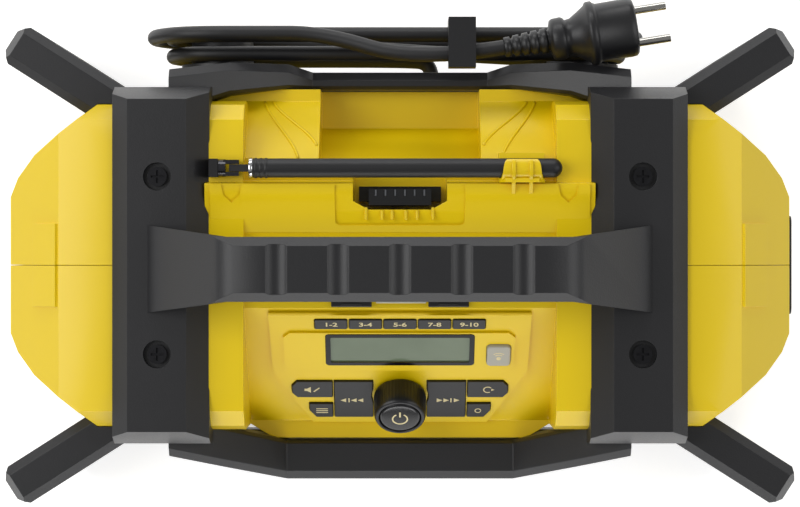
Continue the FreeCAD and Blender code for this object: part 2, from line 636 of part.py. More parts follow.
port = box((FLAP_X - 7.7, FLAP_Y[0] + 1.8, shelf_under - 14), (FLAP_X + 7.7, FLAP_Y[1] - 1.8, flap_low - 1))
port = port.cut(box((FLAP_X - 6, jack_mid - 1.9, shelf_under - 10), (FLAP_X + 6, jack_mid + 1.9, flap_low + 1)))
port = port.fuse(box((FLAP_X - 5, jack_mid - 1.9, shelf_under - 10.5), (FLAP_X + 5, jack_mid - 0.4, flap_low - 2)))
solid("usb_port", port)

# aerial: fixed socket, turning knuckle, folding rod, and a clip that holds it down
socket_x = s.knuckle_x - 8
aerial_floor = s.dock_height + s.fit_gap
socket = box((-s.strap_inner + s.fit_gap, s.aerial_y - 5.2, aerial_floor), (socket_x + 2, s.aerial_y + 5.2, s.aerial_z + 5))
solid("aerial_socket", largest(socket.cut(clear_of_housing)))
knuckle = tube(s.knuckle_radius, (socket_x + 2.3, s.aerial_y, s.aerial_z), (s.knuckle_x - 1.7, s.aerial_y, s.aerial_z))
fork_reach = s.aerial_root - 4
for way in (-1, 1):
    low_y = s.aerial_y + (2.3 if way > 0 else -4.6)
    knuckle = knuckle.fuse(box((s.knuckle_x - 3, low_y, s.aerial_z - 3.5),
                               (fork_reach + 4, low_y + 2.3, s.aerial_z + 3.5)))
solid("aerial_knuckle", knuckle)
rod = tube(s.aerial_radius, (s.aerial_root + 6, s.aerial_y, s.aerial_z), (s.aerial_tip - 5, s.aerial_y, s.aerial_z))
tip_ball = Part.makeSphere(s.aerial_radius, V(s.aerial_tip - 5.5, s.aerial_y, s.aerial_z))
tongue = box((fork_reach - 1.6, s.aerial_y - 2, s.aerial_z - 2.8), (s.aerial_root + 7, s.aerial_y + 2, s.aerial_z + 2.8))
solid("aerial_rod", join([rod, tip_ball, tongue]))
clip_half = s.clip_width / 2
clip_front = s.shelf_depth + 0.4
clip_mouth = s.aerial_y - s.aerial_radius - 0.4
clip_top = s.aerial_z + s.aerial_radius + 0.7
cradle = box((s.clip_x - clip_half, clip_front, s.dock_height + s.fit_gap),
             (s.clip_x + clip_half, s.aerial_y + 9, s.aerial_z - 2))
cradle = cradle.cut(tube(s.aerial_radius + 0.4, (s.clip_x - 40, s.aerial_y, s.aerial_z),
                         (s.clip_x + 40, s.aerial_y, s.aerial_z)))
wall_view = [(s.clip_x - clip_half, s.dock_height + 4), (s.clip_x + clip_half, s.dock_height + 4),
             (s.clip_x + clip_half, s.shelf_height + 2), (s.clip_x + clip_half - 3.5, clip_top),
             (s.clip_x - clip_half + 3.5, clip_top), (s.clip_x - clip_half, s.shelf_height + 2)]
cradle = cradle.fuse(prism("xz", wall_view, clip_front, clip_mouth))
rib_view = [(s.shelf_depth - 6.5, s.shelf_height + s.fit_gap), (clip_front + 1, s.shelf_height + s.fit_gap),
            (clip_front + 1, clip_top - 0.6), (clip_front - 0.6, clip_top - 0.6)]
for rib_x in (s.clip_x - 6, s.clip_x + 4):
    cradle = cradle.fuse(prism("yz", rib_view, rib_x, rib_x + 2.2))
solid("aerial_clip", cradle.cut(envelope(-0.2)))

# battery terminals in the notch
terminal_floor = s.dock_height - 30 + s.fit_gap
terminal_block = join([box((-18, 34.6, terminal_floor), (18, 44, s.shelf_height - 8)),
                       box((-24, 37.4, terminal_floor), (24, 46, s.dock_height - 18))])
blade_columns = [(index - 2.5) * s.blade_pitch for index in range(6)]
slots = Part.makeCompound([box((x - s.blade_thick / 2 - s.fit_gap, 40, s.dock_height - 12),
                                 (x + s.blade_thick / 2 + s.fit_gap, 45, s.shelf_height)) for x in blade_columns])
solid("battery_terminal_block", terminal_block.cut(slots))
blades = doc.addObject("Part::Compound", "battery_terminal_blades")
blades.Links = [block("blade", ["%.1f * Sizes.blade_pitch - Sizes.blade_thick / 2" % (index - 2.5), "40",
                                "Sizes.console_head_height + Sizes.shelf_rise - Sizes.dock_drop - 12"],
                      ["Sizes.blade_thick", "3.6", "Sizes.dock_drop + 3"]) for index in range(6)]
node(blades, "battery_terminal_blades")


# speakers behind the pods' front faces
def speaker_grille(side):
    """Domed grille with a staggered field of round holes, on an axis along Y."""
    x, z = side * s.speaker_x, s.speaker_z
    face = -s.pod_depth

    def turned(profile):
        """Turn a half section of radius and depth about the speaker's axis."""
        ring = Part.makePolygon([V(x + r, face + d, z) for r, d in profile + profile[:1]])
        return Part.Face(ring).revolve(V(x, 0, z), Y_AXIS, 360)

    rim = s.speaker_radius
    grille = turned([(0, -3.5), (rim - 8, -3.5), (rim + 2, -2), (rim + 2, -s.fit_gap),
                     (rim - 4 - s.fit_gap, -s.fit_gap), (rim - 4 - s.fit_gap, 1), (0, 1)])
    holes = []
    pitch = 7
    for row in range(-5, 6):
        for column in range(-5, 6):
            hx = (column + 0.5 * (row % 2)) * pitch
            hz = row * pitch * math.sqrt(0.75)
            if math.hypot(hx, hz) < rim - 11:
                holes.append(tube(2.2, (x + hx, face - 5, z + hz), (x + hx, face + 2, z + hz)))
    grille = grille.cut(Part.makeCompound(holes))
    return grille


SEAT = "Sizes.shell_wall + Sizes.fit_gap"
CONE = "Sizes.cone_radius"
MAGNET_END = SEAT + " + 22 + Sizes.magnet_length"
CONE_SECTION = [("8", SEAT + " + 12"), (CONE + " - 6", SEAT + " + 3"), (CONE, SEAT + " + 0.6"),
                (CONE, SEAT + " + 1.6"), (CONE + " - 6", SEAT + " + 4.4"), ("8", SEAT + " + 14"),
                ("0", SEAT + " + 13"), ("0", SEAT + " + 10")]
FRAME_SECTION = [(CONE + " + 0.3", SEAT), ("Sizes.speaker_radius", SEAT), ("Sizes.speaker_radius", SEAT + " + 3"),
                 (CONE, SEAT + " + 5"), ("15", SEAT + " + 20"), ("Sizes.magnet_radius", SEAT + " + 22"),
                 ("Sizes.magnet_radius", MAGNET_END), ("0", MAGNET_END), ("0", SEAT + " + 15"),
                 ("10", SEAT + " + 15"), (CONE + " - 4", SEAT + " + 5"), (CONE + " + 0.3", SEAT + " + 2")]
for side, name in SIDE_NAMES.items():
    solid("speaker_grille_" + name, speaker_grille(side))
    behind = FreeCAD.Placement(V(side * s.speaker_x, -s.pod_depth, s.speaker_z), FreeCAD.Rotation(X_AXIS, -90))
    turned_body("speaker_cone_" + name, CONE_SECTION, behind)
    turned_body("speaker_frame_" + name, FRAME_SECTION, behind)

# inside the housing: main board on the floor, mains supply and its transformer
BOARD_LOW = "Sizes.core_bottom + Sizes.shell_wall + Sizes.fit_gap"
BOARD_TOP = BOARD_LOW + " + Sizes.board_stand + Sizes.board_thick"


def board(label, low_x, high_x, low_y, high_y):
    """A board on a rim that stands it off the floor."""
    whole = block("blank", [low_x, low_y, BOARD_LOW],
                  ["%s - (%s)" % (high_x, low_x), "%s - (%s)" % (high_y, low_y), "Sizes.board_stand + Sizes.board_thick"])
    under = block("under", [low_x + " + Sizes.board_edge", low_y + " + Sizes.board_edge", BOARD_LOW + " - 1"],
                  ["%s - (%s) - 2 * Sizes.board_edge" % (high_x, low_x),
                   "%s - (%s) - 2 * Sizes.board_edge" % (high_y, low_y), "Sizes.board_stand + 1"])
    item = doc.addObject("Part::Cut", label)
    item.Base, item.Tool = whole, under
    node(item, label)


board("main_board", "-Sizes.board_half_width", "Sizes.board_half_width", "14 - Sizes.core_depth", "-6")
board("power_supply_board", "-Sizes.board_half_width", "Sizes.supply_end", "6", "Sizes.core_depth - 12")
node(block("transformer", ["Sizes.transformer_x", "Sizes.core_depth - 84", BOARD_TOP + " + Sizes.fit_gap"],
           ["Sizes.transformer_length", "Sizes.transformer_width", "Sizes.transformer_height"]), "transformer")

# rubber feet under the four guards, and the strap screws
foot = box((8, -s.foot_width / 2, 0), (52, s.foot_width / 2, s.foot_height))
foot = rounded(foot, 3, lambda edge: runs_along(edge, Z_AXIS))
foot.rotate(V(0, 0, 0), Z_AXIS, -s.arm_turn)
foot.translate(V(s.arm_root_x, -arm_root_y, 0))
feet = [foot, flip_x(foot)]
feet += [item.mirror(V(0, 0, 0), Y_AXIS) for item in feet]


def group(label, shapes):
    """A node of several separate solids."""
    item = doc.addObject("Part::Feature", label)
    item.Shape = Part.makeCompound(shapes)
    item.Placement = FreeCAD.Placement()
    return node(item, label)


group("rubber_feet", feet)
screws = []
for x in (-s.strap_screw_x, s.strap_screw_x):
    for y in (-s.strap_screw_y, s.strap_screw_y):
        seat_z = s.strap_top - 4 + s.fit_gap
        screw = tube(s.screw_radius, (x, y, seat_z), (x, y, seat_z + 2.6))
        screw = screw.cut(box((x - 3.6, y - 0.6, seat_z + 1.2), (x + 3.6, y + 0.6, seat_z + 5)))
        screw = screw.cut(box((x - 0.6, y - 3.6, seat_z + 1.2), (x + 0.6, y + 3.6, seat_z + 5)))
        screws.append(screw)
group("strap_screws", screws)
bumper = block("bumper_blank", ["Sizes.pod_end + Sizes.fit_gap", "-Sizes.bumper_width / 2",
                                "Sizes.bumper_low"], ["1.6", "Sizes.bumper_width", "Sizes.bumper_height"])
doc.recompute()
end_bumper = doc.addObject("Part::Fillet", "end_bumper")
end_bumper.Base = bumper
end_bumper.Edges = [(i + 1, 4, 4) for i, edge in enumerate(bumper.Shape.Edges) if runs_along(edge, X_AXIS)]
node(end_bumper, "end_bumper")


# mains lead: two layers wound between the cleats, then up to the plug lying on top
def half_turn(middle, radius, side, y, up):
    """End of a winding turn: a half circle in an upright plane."""
    z_low, z_high = middle - radius, middle + radius
    ends = [V(side * s.wind_half, y, z_low), V(side * s.wind_half, y, z_high)]
    if not up:
        ends.reverse()
    return Part.Arc(ends[0], V(side * (s.wind_half + radius), y, middle), ends[1]).toShape()


def rounded_route(points, straight):
    """Straight runs joined by tangent arcs; prints each arc's radius."""
    edges = []
    last = points[0]
    for index in range(1, len(points) - 1):
        here = points[index]
        before = here - points[index - 1]
        after = points[index + 1] - here
        bend = before.getAngle(after)
        radius = 0.45 * min(before.Length, after.Length) / math.tan(bend / 2)
        trim = radius * math.tan(bend / 2)
        enter = here - V(before).normalize() * trim
        leave = here + V(after).normalize() * trim
        toward = (V(after).normalize() - V(before).normalize()).normalize()
        middle = here + toward * (radius / math.cos(bend / 2) - radius)
        edges.append(Part.makeLine(last, enter))
        edges.append(Part.Arc(enter, middle, leave).toShape())
        print("%s bend radius %.1f mm" % (straight, radius))
        last = leave
    edges.append(Part.makeLine(last, points[-1]))
    return edges


step = s.wind_pitch / 2
y_first = s.wind_y
y_second = s.wind_y + s.wind_pitch
gland_x = s.gland_x
gland_face = s.core_depth + s.gland_reach
lead_low = s.wind_z - s.wind_first_radius
exit_radius = y_first - gland_face - 2 * s.cord_radius
cord_edges = [
    Part.makeLine(V(gland_x, gland_face, lead_low), V(gland_x, y_first - exit_radius, lead_low)),
    Part.Arc(V(gland_x, y_first - exit_radius, lead_low),
             V(gland_x - exit_radius * (1 - math.sqrt(0.5)), y_first - exit_radius * (1 - math.sqrt(0.5)), lead_low),
             V(gland_x - exit_radius, y_first, lead_low)).toShape()]
here = V(gland_x - exit_radius, y_first, lead_low)
radius = s.wind_first_radius
y = y_first
shrink = -1
HALF_TURNS = 5
for index in range(HALF_TURNS):
    side = -1 if index % 2 == 0 else 1
    if index:
        if index == 2:
            shrink = 1
        radius += shrink * step
    up = side < 0
    start_z = here.z
    middle = start_z + radius if up else start_z - radius
    target = V(side * s.wind_half, y, start_z)
    if index == 2:
        y = y_second
        target = V(side * s.wind_half, y, start_z)
        centre = V((here.x + target.x) / 2, (here.y + target.y) / 2, start_z)
        run = abs(target.x - here.x)
        rise = target.y - here.y
        bow = (run ** 2 + rise ** 2) / (4 * rise)
        quarter = math.asin(run / 2 / bow) / 2
        way = -1 if target.x < here.x else 1
        first_mid = V(here.x + way * bow * math.sin(quarter), here.y + bow * (1 - math.cos(quarter)), start_z)
        second_mid = V(target.x - way * bow * math.sin(quarter), target.y - bow * (1 - math.cos(quarter)), start_z)
        cord_edges.append(Part.Arc(here, first_mid, centre).toShape())
        cord_edges.append(Part.Arc(centre, second_mid, target).toShape())
    else:
        cord_edges.append(Part.makeLine(here, target))
    cord_edges.append(half_turn(middle, radius, side, y, up))
    here = V(side * s.wind_half, y, middle + radius if up else middle - radius)
wound_top = here.z
plug_y, plug_z = 127.4, wound_top - 2 * s.wind_pitch + s.cord_radius + s.plug_radius + 11
plug_way = V(math.cos(math.radians(s.plug_tilt)), math.sin(math.radians(s.plug_tilt)), 0)
plug_tail = V(61, plug_y, plug_z)
lead = [here, V(-45, here.y, here.z), plug_tail - plug_way * 52, plug_tail]
cord_edges += rounded_route(lead, "lead")
cord_wire = Part.Wire(cord_edges)


def pipe(wire, radius, start, way):
    """A round tube along a wire."""
    ring = Part.Wire(Part.makeCircle(radius, start, way))
    return wire.makePipeShell([ring], True, False)


power_cord = pipe(cord_wire, s.cord_radius, V(gland_x, gland_face, lead_low), Y_AXIS)
cord_length = cord_wire.Length
expected = math.pi * s.cord_radius ** 2 * cord_length
print("cord length %.0f mm, volume %.4f of section times length" % (cord_length, power_cord.Volume / expected))
samples = cord_wire.discretize(Distance=6)
steps = len(samples)
least = min(samples[i].distanceToPoint(samples[j]) for i in range(steps) for j in range(i + 5, steps)
            if abs(i - j) * 6 > 40)
print("least gap of the cord to itself %.2f mm" % (least - 2 * s.cord_radius))
item = doc.addObject("Part::Feature", "power_cord")
item.Shape = power_cord
node(item, "power_cord")

# gland on the back wall, plug with ribbed strain relief, pins, and the rubber clip
gland = doc.addObject("Part::Cylinder", "cord_gland")
gland.setExpression("Radius", "Sizes.gland_radius")
gland.setExpression("Height", "Sizes.gland_reach - 0.02")
gland.Placement = FreeCAD.Placement(V(gland_x, s.core_depth + 0.02, lead_low), FreeCAD.Rotation(X_AXIS, -90))
node(gland, "cord_gland")


def plug_frame(shape):
    """Place a shape drawn along +X from the origin at the plug's tail."""
    shape.rotate(V(0, 0, 0), Z_AXIS, s.plug_tilt)
    shape.translate(plug_tail)
    return shape


def turned_x(profile):
    """Turn a profile of length and radius about the X axis."""
    points = [V(x, 0, r) for x, r in profile] + [V(profile[-1][0], 0, 0), V(profile[0][0], 0, 0)]
    return Part.Face(Part.makePolygon(points + points[:1])).revolve(V(0, 0, 0), X_AXIS, 360)


relief = [(0, 5.2)]
for index in range(5):
    relief += [(index * 5.4 + 1, 5.6 + index * 0.5), (index * 5.4 + 3.6, 5.9 + index * 0.5),
               (index * 5.4 + 3.6, 4.6), (index * 5.4 + 5.4, 4.8)]
relief += [(30, 12), (36, 13), (42, 13), (52, s.plug_radius - 2), (56, s.plug_radius), (60, s.plug_radius),
           (s.plug_length, s.plug_radius)]
plug = plug_frame(turned_x(relief))
solid("plug_body", plug)
pins = []
for way in (-1, 1):
    pin = doc.addObject("Part::Cylinder", "pin")
    pin.setExpression("Radius", "Sizes.pin_radius")
    pin.setExpression("Height", "Sizes.pin_length")
    seat = V(s.plug_length, way * s.pin_pitch / 2, 0)
    pin.Placement = FreeCAD.Placement(plug_tail, FreeCAD.Rotation(Z_AXIS, s.plug_tilt)).multiply(
        FreeCAD.Placement(seat, FreeCAD.Rotation(Y_AXIS, 90)))
    pins.append(pin)
plug_pins = doc.addObject("Part::Compound", "plug_pins")
plug_pins.Links = pins
node(plug_pins, "plug_pins")
strand_z = s.wind_z + s.wind_first_radius + s.wind_pitch
clip_point = plug_tail - plug_way * 25
clip_low = strand_z - 3
clip = join([box((clip_point.x - 8, clip_point.y - 8, clip_point.z - 8),
                 (clip_point.x + 8, y_second + 8, clip_point.z + 8)),
             box((clip_point.x - 8, y_second - 8, clip_low), (clip_point.x + 8, y_second + 8, clip_point.z))])
clip = clip.cut(tube(s.cord_radius + 0.3, tuple(plug_tail - plug_way * 50), tuple(plug_tail - plug_way * 2)))
clip = clip.cut(tube(s.cord_radius + 0.3, (clip_point.x - 20, y_second, strand_z), (clip_point.x + 20, y_second, strand_z)))
clip = clip.cut(box((clip_point.x - 20, y_second - 4, strand_z - 20), (clip_point.x + 20, y_second + 4, strand_z)))
clip = clip.cut(box((clip_point.x - 20, y_second - 20, strand_z - 20), (clip_point.x + 20, y_second - 5.5, clip_point.z - 8)))
solid("cord_clip", clip)
cleats = []
for side in (-1, 1):
    x = side * s.wind_half
    inner = s.wind_first_radius - step - s.cord_radius - 0.6
    middle = s.wind_z + step
    post = tube(inner - 1, (x, s.core_depth - 8, middle), (x, s.cleat_end, middle))
    base = tube(inner + 5, (x, s.core_depth - 8, middle), (x, y_first - s.cord_radius - 1, middle))
    cleats.append(join([post, base]).cut(clear_of_housing))
group("cord_cleats", [largest(item) for item in cleats])

# every object must be sound before anything is written
doc.recompute()
for item in doc.Objects:
    if {"Invalid", "Error"} & set(item.State):
        raise RuntimeError("failed object " + item.Label)
os.makedirs("parts", exist_ok=True)
for item in NODES:
    if item.Shape.isNull() or not item.Shape.isValid():
        raise RuntimeError("bad shape " + item.Label)
for item in NODES:
    item.Shape.exportStep("parts/%s.step" % item.Label)
print("%d sub-parts written" % len(NODES))
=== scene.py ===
import math

import bmesh
import bpy
import numpy as np
from mathutils import Matrix, Vector


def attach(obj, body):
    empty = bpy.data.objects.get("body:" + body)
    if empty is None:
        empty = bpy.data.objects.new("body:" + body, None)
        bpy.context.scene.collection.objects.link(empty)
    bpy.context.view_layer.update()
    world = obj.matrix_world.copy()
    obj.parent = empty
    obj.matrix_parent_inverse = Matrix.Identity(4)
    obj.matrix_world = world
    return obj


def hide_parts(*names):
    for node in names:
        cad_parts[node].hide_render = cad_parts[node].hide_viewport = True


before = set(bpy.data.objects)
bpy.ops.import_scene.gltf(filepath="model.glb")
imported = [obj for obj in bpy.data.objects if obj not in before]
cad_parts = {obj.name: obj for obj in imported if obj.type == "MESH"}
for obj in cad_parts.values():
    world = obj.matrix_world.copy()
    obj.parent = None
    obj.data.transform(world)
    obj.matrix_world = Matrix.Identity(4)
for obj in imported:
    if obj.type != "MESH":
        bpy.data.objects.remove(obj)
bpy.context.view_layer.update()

# The camera hangs above the radio and looks straight down, as the photograph was taken.
# The lamps are large soft boxes, two long ones low down at the sides that draw bright lines
# along the bevels, and the floor is white to the camera but lets the radio's shadow show.
CAMERA_HEIGHT = 1.785
CAMERA_BACK = 0.0068
PHOTO_WIDTH_PX = 800
FOCAL_PX = 2760
SENSOR = 36

camera_data = bpy.data.cameras.new("camera")
camera_data.sensor_width = SENSOR
camera_data.lens = SENSOR * FOCAL_PX / PHOTO_WIDTH_PX
camera = bpy.data.objects.new("camera", camera_data)
camera.location = (0, CAMERA_BACK, CAMERA_HEIGHT)
bpy.context.scene.collection.objects.link(camera)
bpy.context.scene.camera = camera
bpy.context.scene.view_settings.view_transform = "Standard"


def soft_box(name, place, aim, width, height, watts):
    """A rectangular lamp at a place, turned to face a point."""
    data = bpy.data.lights.new(name, "AREA")
    data.shape = "RECTANGLE"
    data.size = width
    data.size_y = height
    data.energy = watts
    lamp = bpy.data.objects.new(name, data)
    lamp.location = place
    lamp.rotation_euler = (Vector(aim) - Vector(place)).to_track_quat("-Z", "Y").to_euler()
    bpy.context.scene.collection.objects.link(lamp)


soft_box("lamp_left", (-1.3, 0.25, 1.5), (0, 0, 0.1), 1.2, 1.4, 17)
soft_box("lamp_right", (1.4, 0.1, 1.3), (0, 0, 0.1), 0.8, 1.2, 7)
soft_box("lamp_back", (-0.2, 1.5, 0.75), (0, 0, 0.15), 1.8, 0.5, 12)
soft_box("lamp_front", (0.0, -1.5, 0.65), (0, 0, 0.15), 1.8, 0.5, 12)


def hex_colour(text):
    """Turn an sRGB hex colour to linear values, as the shader sockets take them."""
    parts = [int(text[i:i + 2], 16) / 255 for i in (0, 2, 4)]
    return [c / 12.92 if c <= 0.04045 else ((c + 0.055) / 1.055) ** 2.4 for c in parts] + [1.0]


def add_node(material, kind, links=None, **settings):
    """Add one node, set its inputs or attributes by name, and link the given sockets into it."""
    made = material.node_tree.nodes.new(kind)
    for key, value in settings.items():
        if hasattr(made, key):
            setattr(made, key, value)
        else:
            made.inputs[key.replace("_", " ")].default_value = value
    for key, source in (links or {}).items():
        material.node_tree.links.new(source, made.inputs[key])
    return made


def blank_material(name):
    """An empty node material and its output node."""
    material = bpy.data.materials.new(name)
    material.use_nodes = True
    material.node_tree.nodes.clear()
    return material, add_node(material, "ShaderNodeOutputMaterial")


def white_to_camera(name, grey):
    """Plain matt white that the camera and mirrors see at full white, shaded by a soft shadow."""
    material, output = blank_material(name)
    rays = add_node(material, "ShaderNodeLightPath")
    seen = add_node(material, "ShaderNodeMath", {0: rays.outputs["Is Camera Ray"],
                                                1: rays.outputs["Is Glossy Ray"]}, operation="MAXIMUM")
    matt = add_node(material, "ShaderNodeBsdfDiffuse", Color=(grey, grey, grey, 1))
    glow = add_node(material, "ShaderNodeEmission", Color=(1, 1, 1, 1), Strength=0.62)
    lit = add_node(material, "ShaderNodeAddShader", {0: matt.outputs[0], 1: glow.outputs[0]})
    mix = add_node(material, "ShaderNodeMixShader", {0: seen.outputs[0], 1: matt.outputs[0],
                                                     2: lit.outputs[0]})
    material.node_tree.links.new(mix.outputs[0], output.inputs[0])
    return material


# The floor: a sheet of matt white paper under the radio, wide enough to fill every view.
FLOOR_SIZE = 12
floor_mesh = bpy.data.meshes.new("floor")
half_floor = FLOOR_SIZE / 2
floor_mesh.from_pydata([(-half_floor, -half_floor, 0), (half_floor, -half_floor, 0),
                        (half_floor, half_floor, 0), (-half_floor, half_floor, 0)], [], [(0, 1, 2, 3)])
floor = bpy.data.objects.new("floor", floor_mesh)
floor_mesh.materials.append(white_to_camera("matt white floor", 0.8))
bpy.context.scene.collection.objects.link(floor)


# The studio: even white all round, at full strength to the camera and dimmer to the radio, so that
# the lamps still draw its edges and the black plastic stays deep.
world = bpy.data.worlds.new("studio")
world.use_nodes = True
bpy.context.scene.world = world
world.node_tree.nodes["Background"].inputs["Color"].default_value = (1, 1, 1, 1)
world_rays = world.node_tree.nodes.new("ShaderNodeLightPath")
world_seen = world.node_tree.nodes.new("ShaderNodeMapRange")
world_seen.inputs["To Min"].default_value = 0.30
world_seen.inputs["To Max"].default_value = 1.0
world.node_tree.links.new(world_rays.outputs["Is Camera Ray"], world_seen.inputs["Value"])
world.node_tree.links.new(world_seen.outputs[0], world.node_tree.nodes["Background"].inputs["Strength"])


# The mains lead: round black rubber cable, wound in two layers between the cleats on the back,
# then lifted over the last turns to the plug that lies on top of them.
CORD_RADIUS = 0.0045
WIND_PITCH = 0.0105
WIND_HALF = 0.1075
FIRST_RADIUS = 0.030
WIND_Y = 0.1263
WIND_Z = 0.105
GLAND = Vector((0.020, 0.106, WIND_Z - FIRST_RADIUS))
HALF_TURNS = 5
PER_HALF_TURN = 6
PLUG_TILT = math.radians(9)
PLUG_WAY = Vector((math.cos(PLUG_TILT), math.sin(PLUG_TILT), 0))
PLUG_TAIL = Vector((0.061, 0.1274, 0.1695))


def wound_points():
    """Control points of the winding: each half turn is points at even angles on a circle a little
    wider than the cable's, so that the spline touches it, and each run gets two points near its ends."""
    points = []
    radius = FIRST_RADIUS
    step = WIND_PITCH / 2
    y = WIND_Y
    z = GLAND.z
    delta = math.pi / PER_HALF_TURN
    for index in range(HALF_TURNS):
        side = -1 if index % 2 == 0 else 1
        if index:
            radius += step if index >= 2 else -step
        up = 1 if side < 0 else -1
        middle = z + up * radius
        y_before = y
        if index == 2:
            y = WIND_Y + WIND_PITCH
        if index:
            points.append((-side * (WIND_HALF - 0.03), y_before, z))
        points.append((side * (WIND_HALF - 0.03), y, z))
        wide = radius / math.cos(delta / 2)
        for part in range(PER_HALF_TURN):
            angle = -math.pi / 2 + (part + 0.5) * delta
            points.append((side * (WIND_HALF + wide * math.cos(angle)), y,
                           middle + up * wide * math.sin(angle)))
        z = middle + up * radius
    return points, y, z


winding, last_y, last_z = wound_points()
route = [tuple(GLAND), (GLAND.x, 0.117, GLAND.z), (GLAND.x - 0.003, 0.1245, GLAND.z),
         (GLAND.x - 0.012, WIND_Y, GLAND.z)] + winding
route += [(-0.085, last_y, last_z), (-0.045, last_y, last_z), tuple(PLUG_TAIL - PLUG_WAY * 0.052),
          tuple(PLUG_TAIL)]
cord_curve = bpy.data.curves.new("mains_lead", "CURVE")
cord_curve.dimensions = "3D"
spline = cord_curve.splines.new("NURBS")
spline.points.add(len(route) - 1)
for point, place in zip(spline.points, route):
    point.co = (*place, 1)
spline.order_u = 3
spline.use_endpoint_u = True
spline.resolution_u = 8
cord_curve.bevel_depth = CORD_RADIUS
cord_curve.bevel_resolution = 6
cord_curve.use_fill_caps = True
mains_lead = bpy.data.objects.new("mains_lead", cord_curve)
bpy.context.scene.collection.objects.link(mains_lead)


def moulded(name, colour, rough, grain_mm, depth, coat=0.0, mottle=0.06, specular=0.5):
    """A moulded plastic or rubber: one colour with faint mottling, and a spark-eroded mould grain.
    grain_mm is the size of one grain; the bump is that grain's height in tenths of a millimetre."""
    material, output = blank_material(name)
    place = add_node(material, "ShaderNodeTexCoord")
    grain = add_node(material, "ShaderNodeTexNoise", {"Vector": place.outputs["Object"]},
                     Scale=1000 / grain_mm, Detail=2.0)
    cloud = add_node(material, "ShaderNodeTexNoise", {"Vector": place.outputs["Object"]},
                     Scale=22.0, Detail=3.0)
    low = [c * (1 - mottle) for c in hex_colour(colour)[:3]] + [1]
    high = [min(1, c * (1 + mottle)) for c in hex_colour(colour)[:3]] + [1]
    mix = add_node(material, "ShaderNodeMix", {"Factor": cloud.outputs[0]}, data_type="RGBA")
    mix.inputs[6].default_value = low
    mix.inputs[7].default_value = high
    dull = add_node(material, "ShaderNodeMapRange", {"Value": grain.outputs[0]})
    dull.inputs["To Min"].default_value = max(0.02, rough - 0.05)
    dull.inputs["To Max"].default_value = min(1.0, rough + 0.06)
    bump = add_node(material, "ShaderNodeBump", {"Height": grain.outputs[0]}, Strength=depth,
                    Distance=0.0001)
    shader = add_node(material, "ShaderNodeBsdfPrincipled",
                      {"Base Color": mix.outputs[2], "Roughness": dull.outputs[0],
                       "Normal": bump.outputs[0]})
    shader.inputs["IOR"].default_value = 1.5
    shader.inputs["Specular IOR Level"].default_value = specular
    shader.inputs["Coat Weight"].default_value = coat
    shader.inputs["Coat Roughness"].default_value = 0.2
    material.node_tree.links.new(shader.outputs[0], output.inputs[0])
    return material


# EPDM-sheathed cable: matt, slightly grey where the light grazes it.
cable_rubber = moulded("cable rubber", "151517", 0.5, 0.5, 0.35)
cord_curve.materials.append(cable_rubber)
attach(mains_lead, "root")
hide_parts("power_cord")


def new_piece(name, vertices, faces, material, body="root", smooth=True):
    """Make a mesh object from arrays, give it its material and let it ride on its body."""
    mesh = bpy.data.meshes.new(name)
    mesh.from_pydata([tuple(v) for v in vertices], [], [tuple(f) for f in faces])
    mesh.materials.append(material)
    mesh.polygons.foreach_set("use_smooth", [smooth] * len(mesh.polygons))
    mesh.update()
    piece = bpy.data.objects.new(name, mesh)
    bpy.context.scene.collection.objects.link(piece)
    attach(piece, body)
    return piece


def tube_faces(rings, around):
    """Quads between successive rings, closed at both ends by one polygon each."""
    ring, step = np.meshgrid(np.arange(rings - 1), np.arange(around), indexing="ij")
    nxt = (step + 1) % around
    quads = np.stack([ring * around + step, ring * around + nxt,
                      (ring + 1) * around + nxt, (ring + 1) * around + step], -1).reshape(-1, 4)
    faces = [list(q) for q in quads]
    faces.append(list(range(around))[::-1])
    faces.append(list(range((rings - 1) * around, rings * around)))
    return faces


# The plug: an earthed mains plug moulded in one with its ribbed strain relief. The body swells
# from the cable to a round face, flattened by two grip sides, and two plated pins stand out of it.
RELIEF_RIBS = 5
RELIEF_LENGTH = 0.027
plug_profile = [(0, 0.0052)]
for rib in range(RELIEF_RIBS):
    start = rib * RELIEF_LENGTH / RELIEF_RIBS
    high = 0.0058 + rib * 0.0004
    plug_profile += [(start + 0.0004, high), (start + 0.0036, high + 0.0002),
                     (start + 0.0040, high - 0.0012), (start + 0.0050, high - 0.0012)]
plug_profile += [(0.028, 0.0112), (0.0295, 0.0122), (0.0345, 0.0125), (0.036, 0.0118), (0.037, 0.0104),
                 (0.040, 0.0108), (0.045, 0.0140), (0.049, 0.0168), (0.050, 0.0186), (0.0512, 0.0189),
                 (0.0535, 0.0189), (0.0545, 0.0178), (0.056, 0.0170), (0.074, 0.0172), (0.0765, 0.0168),
                 (0.0775, 0.0158), (0.078, 0.0140)]
AROUND_PLUG = 64


def plug_rings():
    """Rings along the plug: the profile's radius, less a tenth where the sine of the angle is near
    one and the place is past the flange, then turned by the tilt and moved to the plug's tail."""
    stations = np.array(plug_profile)
    angle = np.linspace(0, 2 * math.pi, AROUND_PLUG, endpoint=False)
    grip = np.clip((stations[:, 0] - 0.055) / 0.004, 0, 1)[:, None]
    flat = 1 - 0.10 * grip * np.clip((np.abs(np.sin(angle)) - 0.72) / 0.28, 0, 1)[None, :]
    radius = stations[:, 1][:, None] * flat
    local = np.stack([np.broadcast_to(stations[:, 0][:, None], radius.shape),
                      radius * np.cos(angle), radius * np.sin(angle)], -1).reshape(-1, 3)
    turn = np.array(Matrix.Rotation(PLUG_TILT, 3, "Z"))
    return local @ turn.T + np.array(PLUG_TAIL)


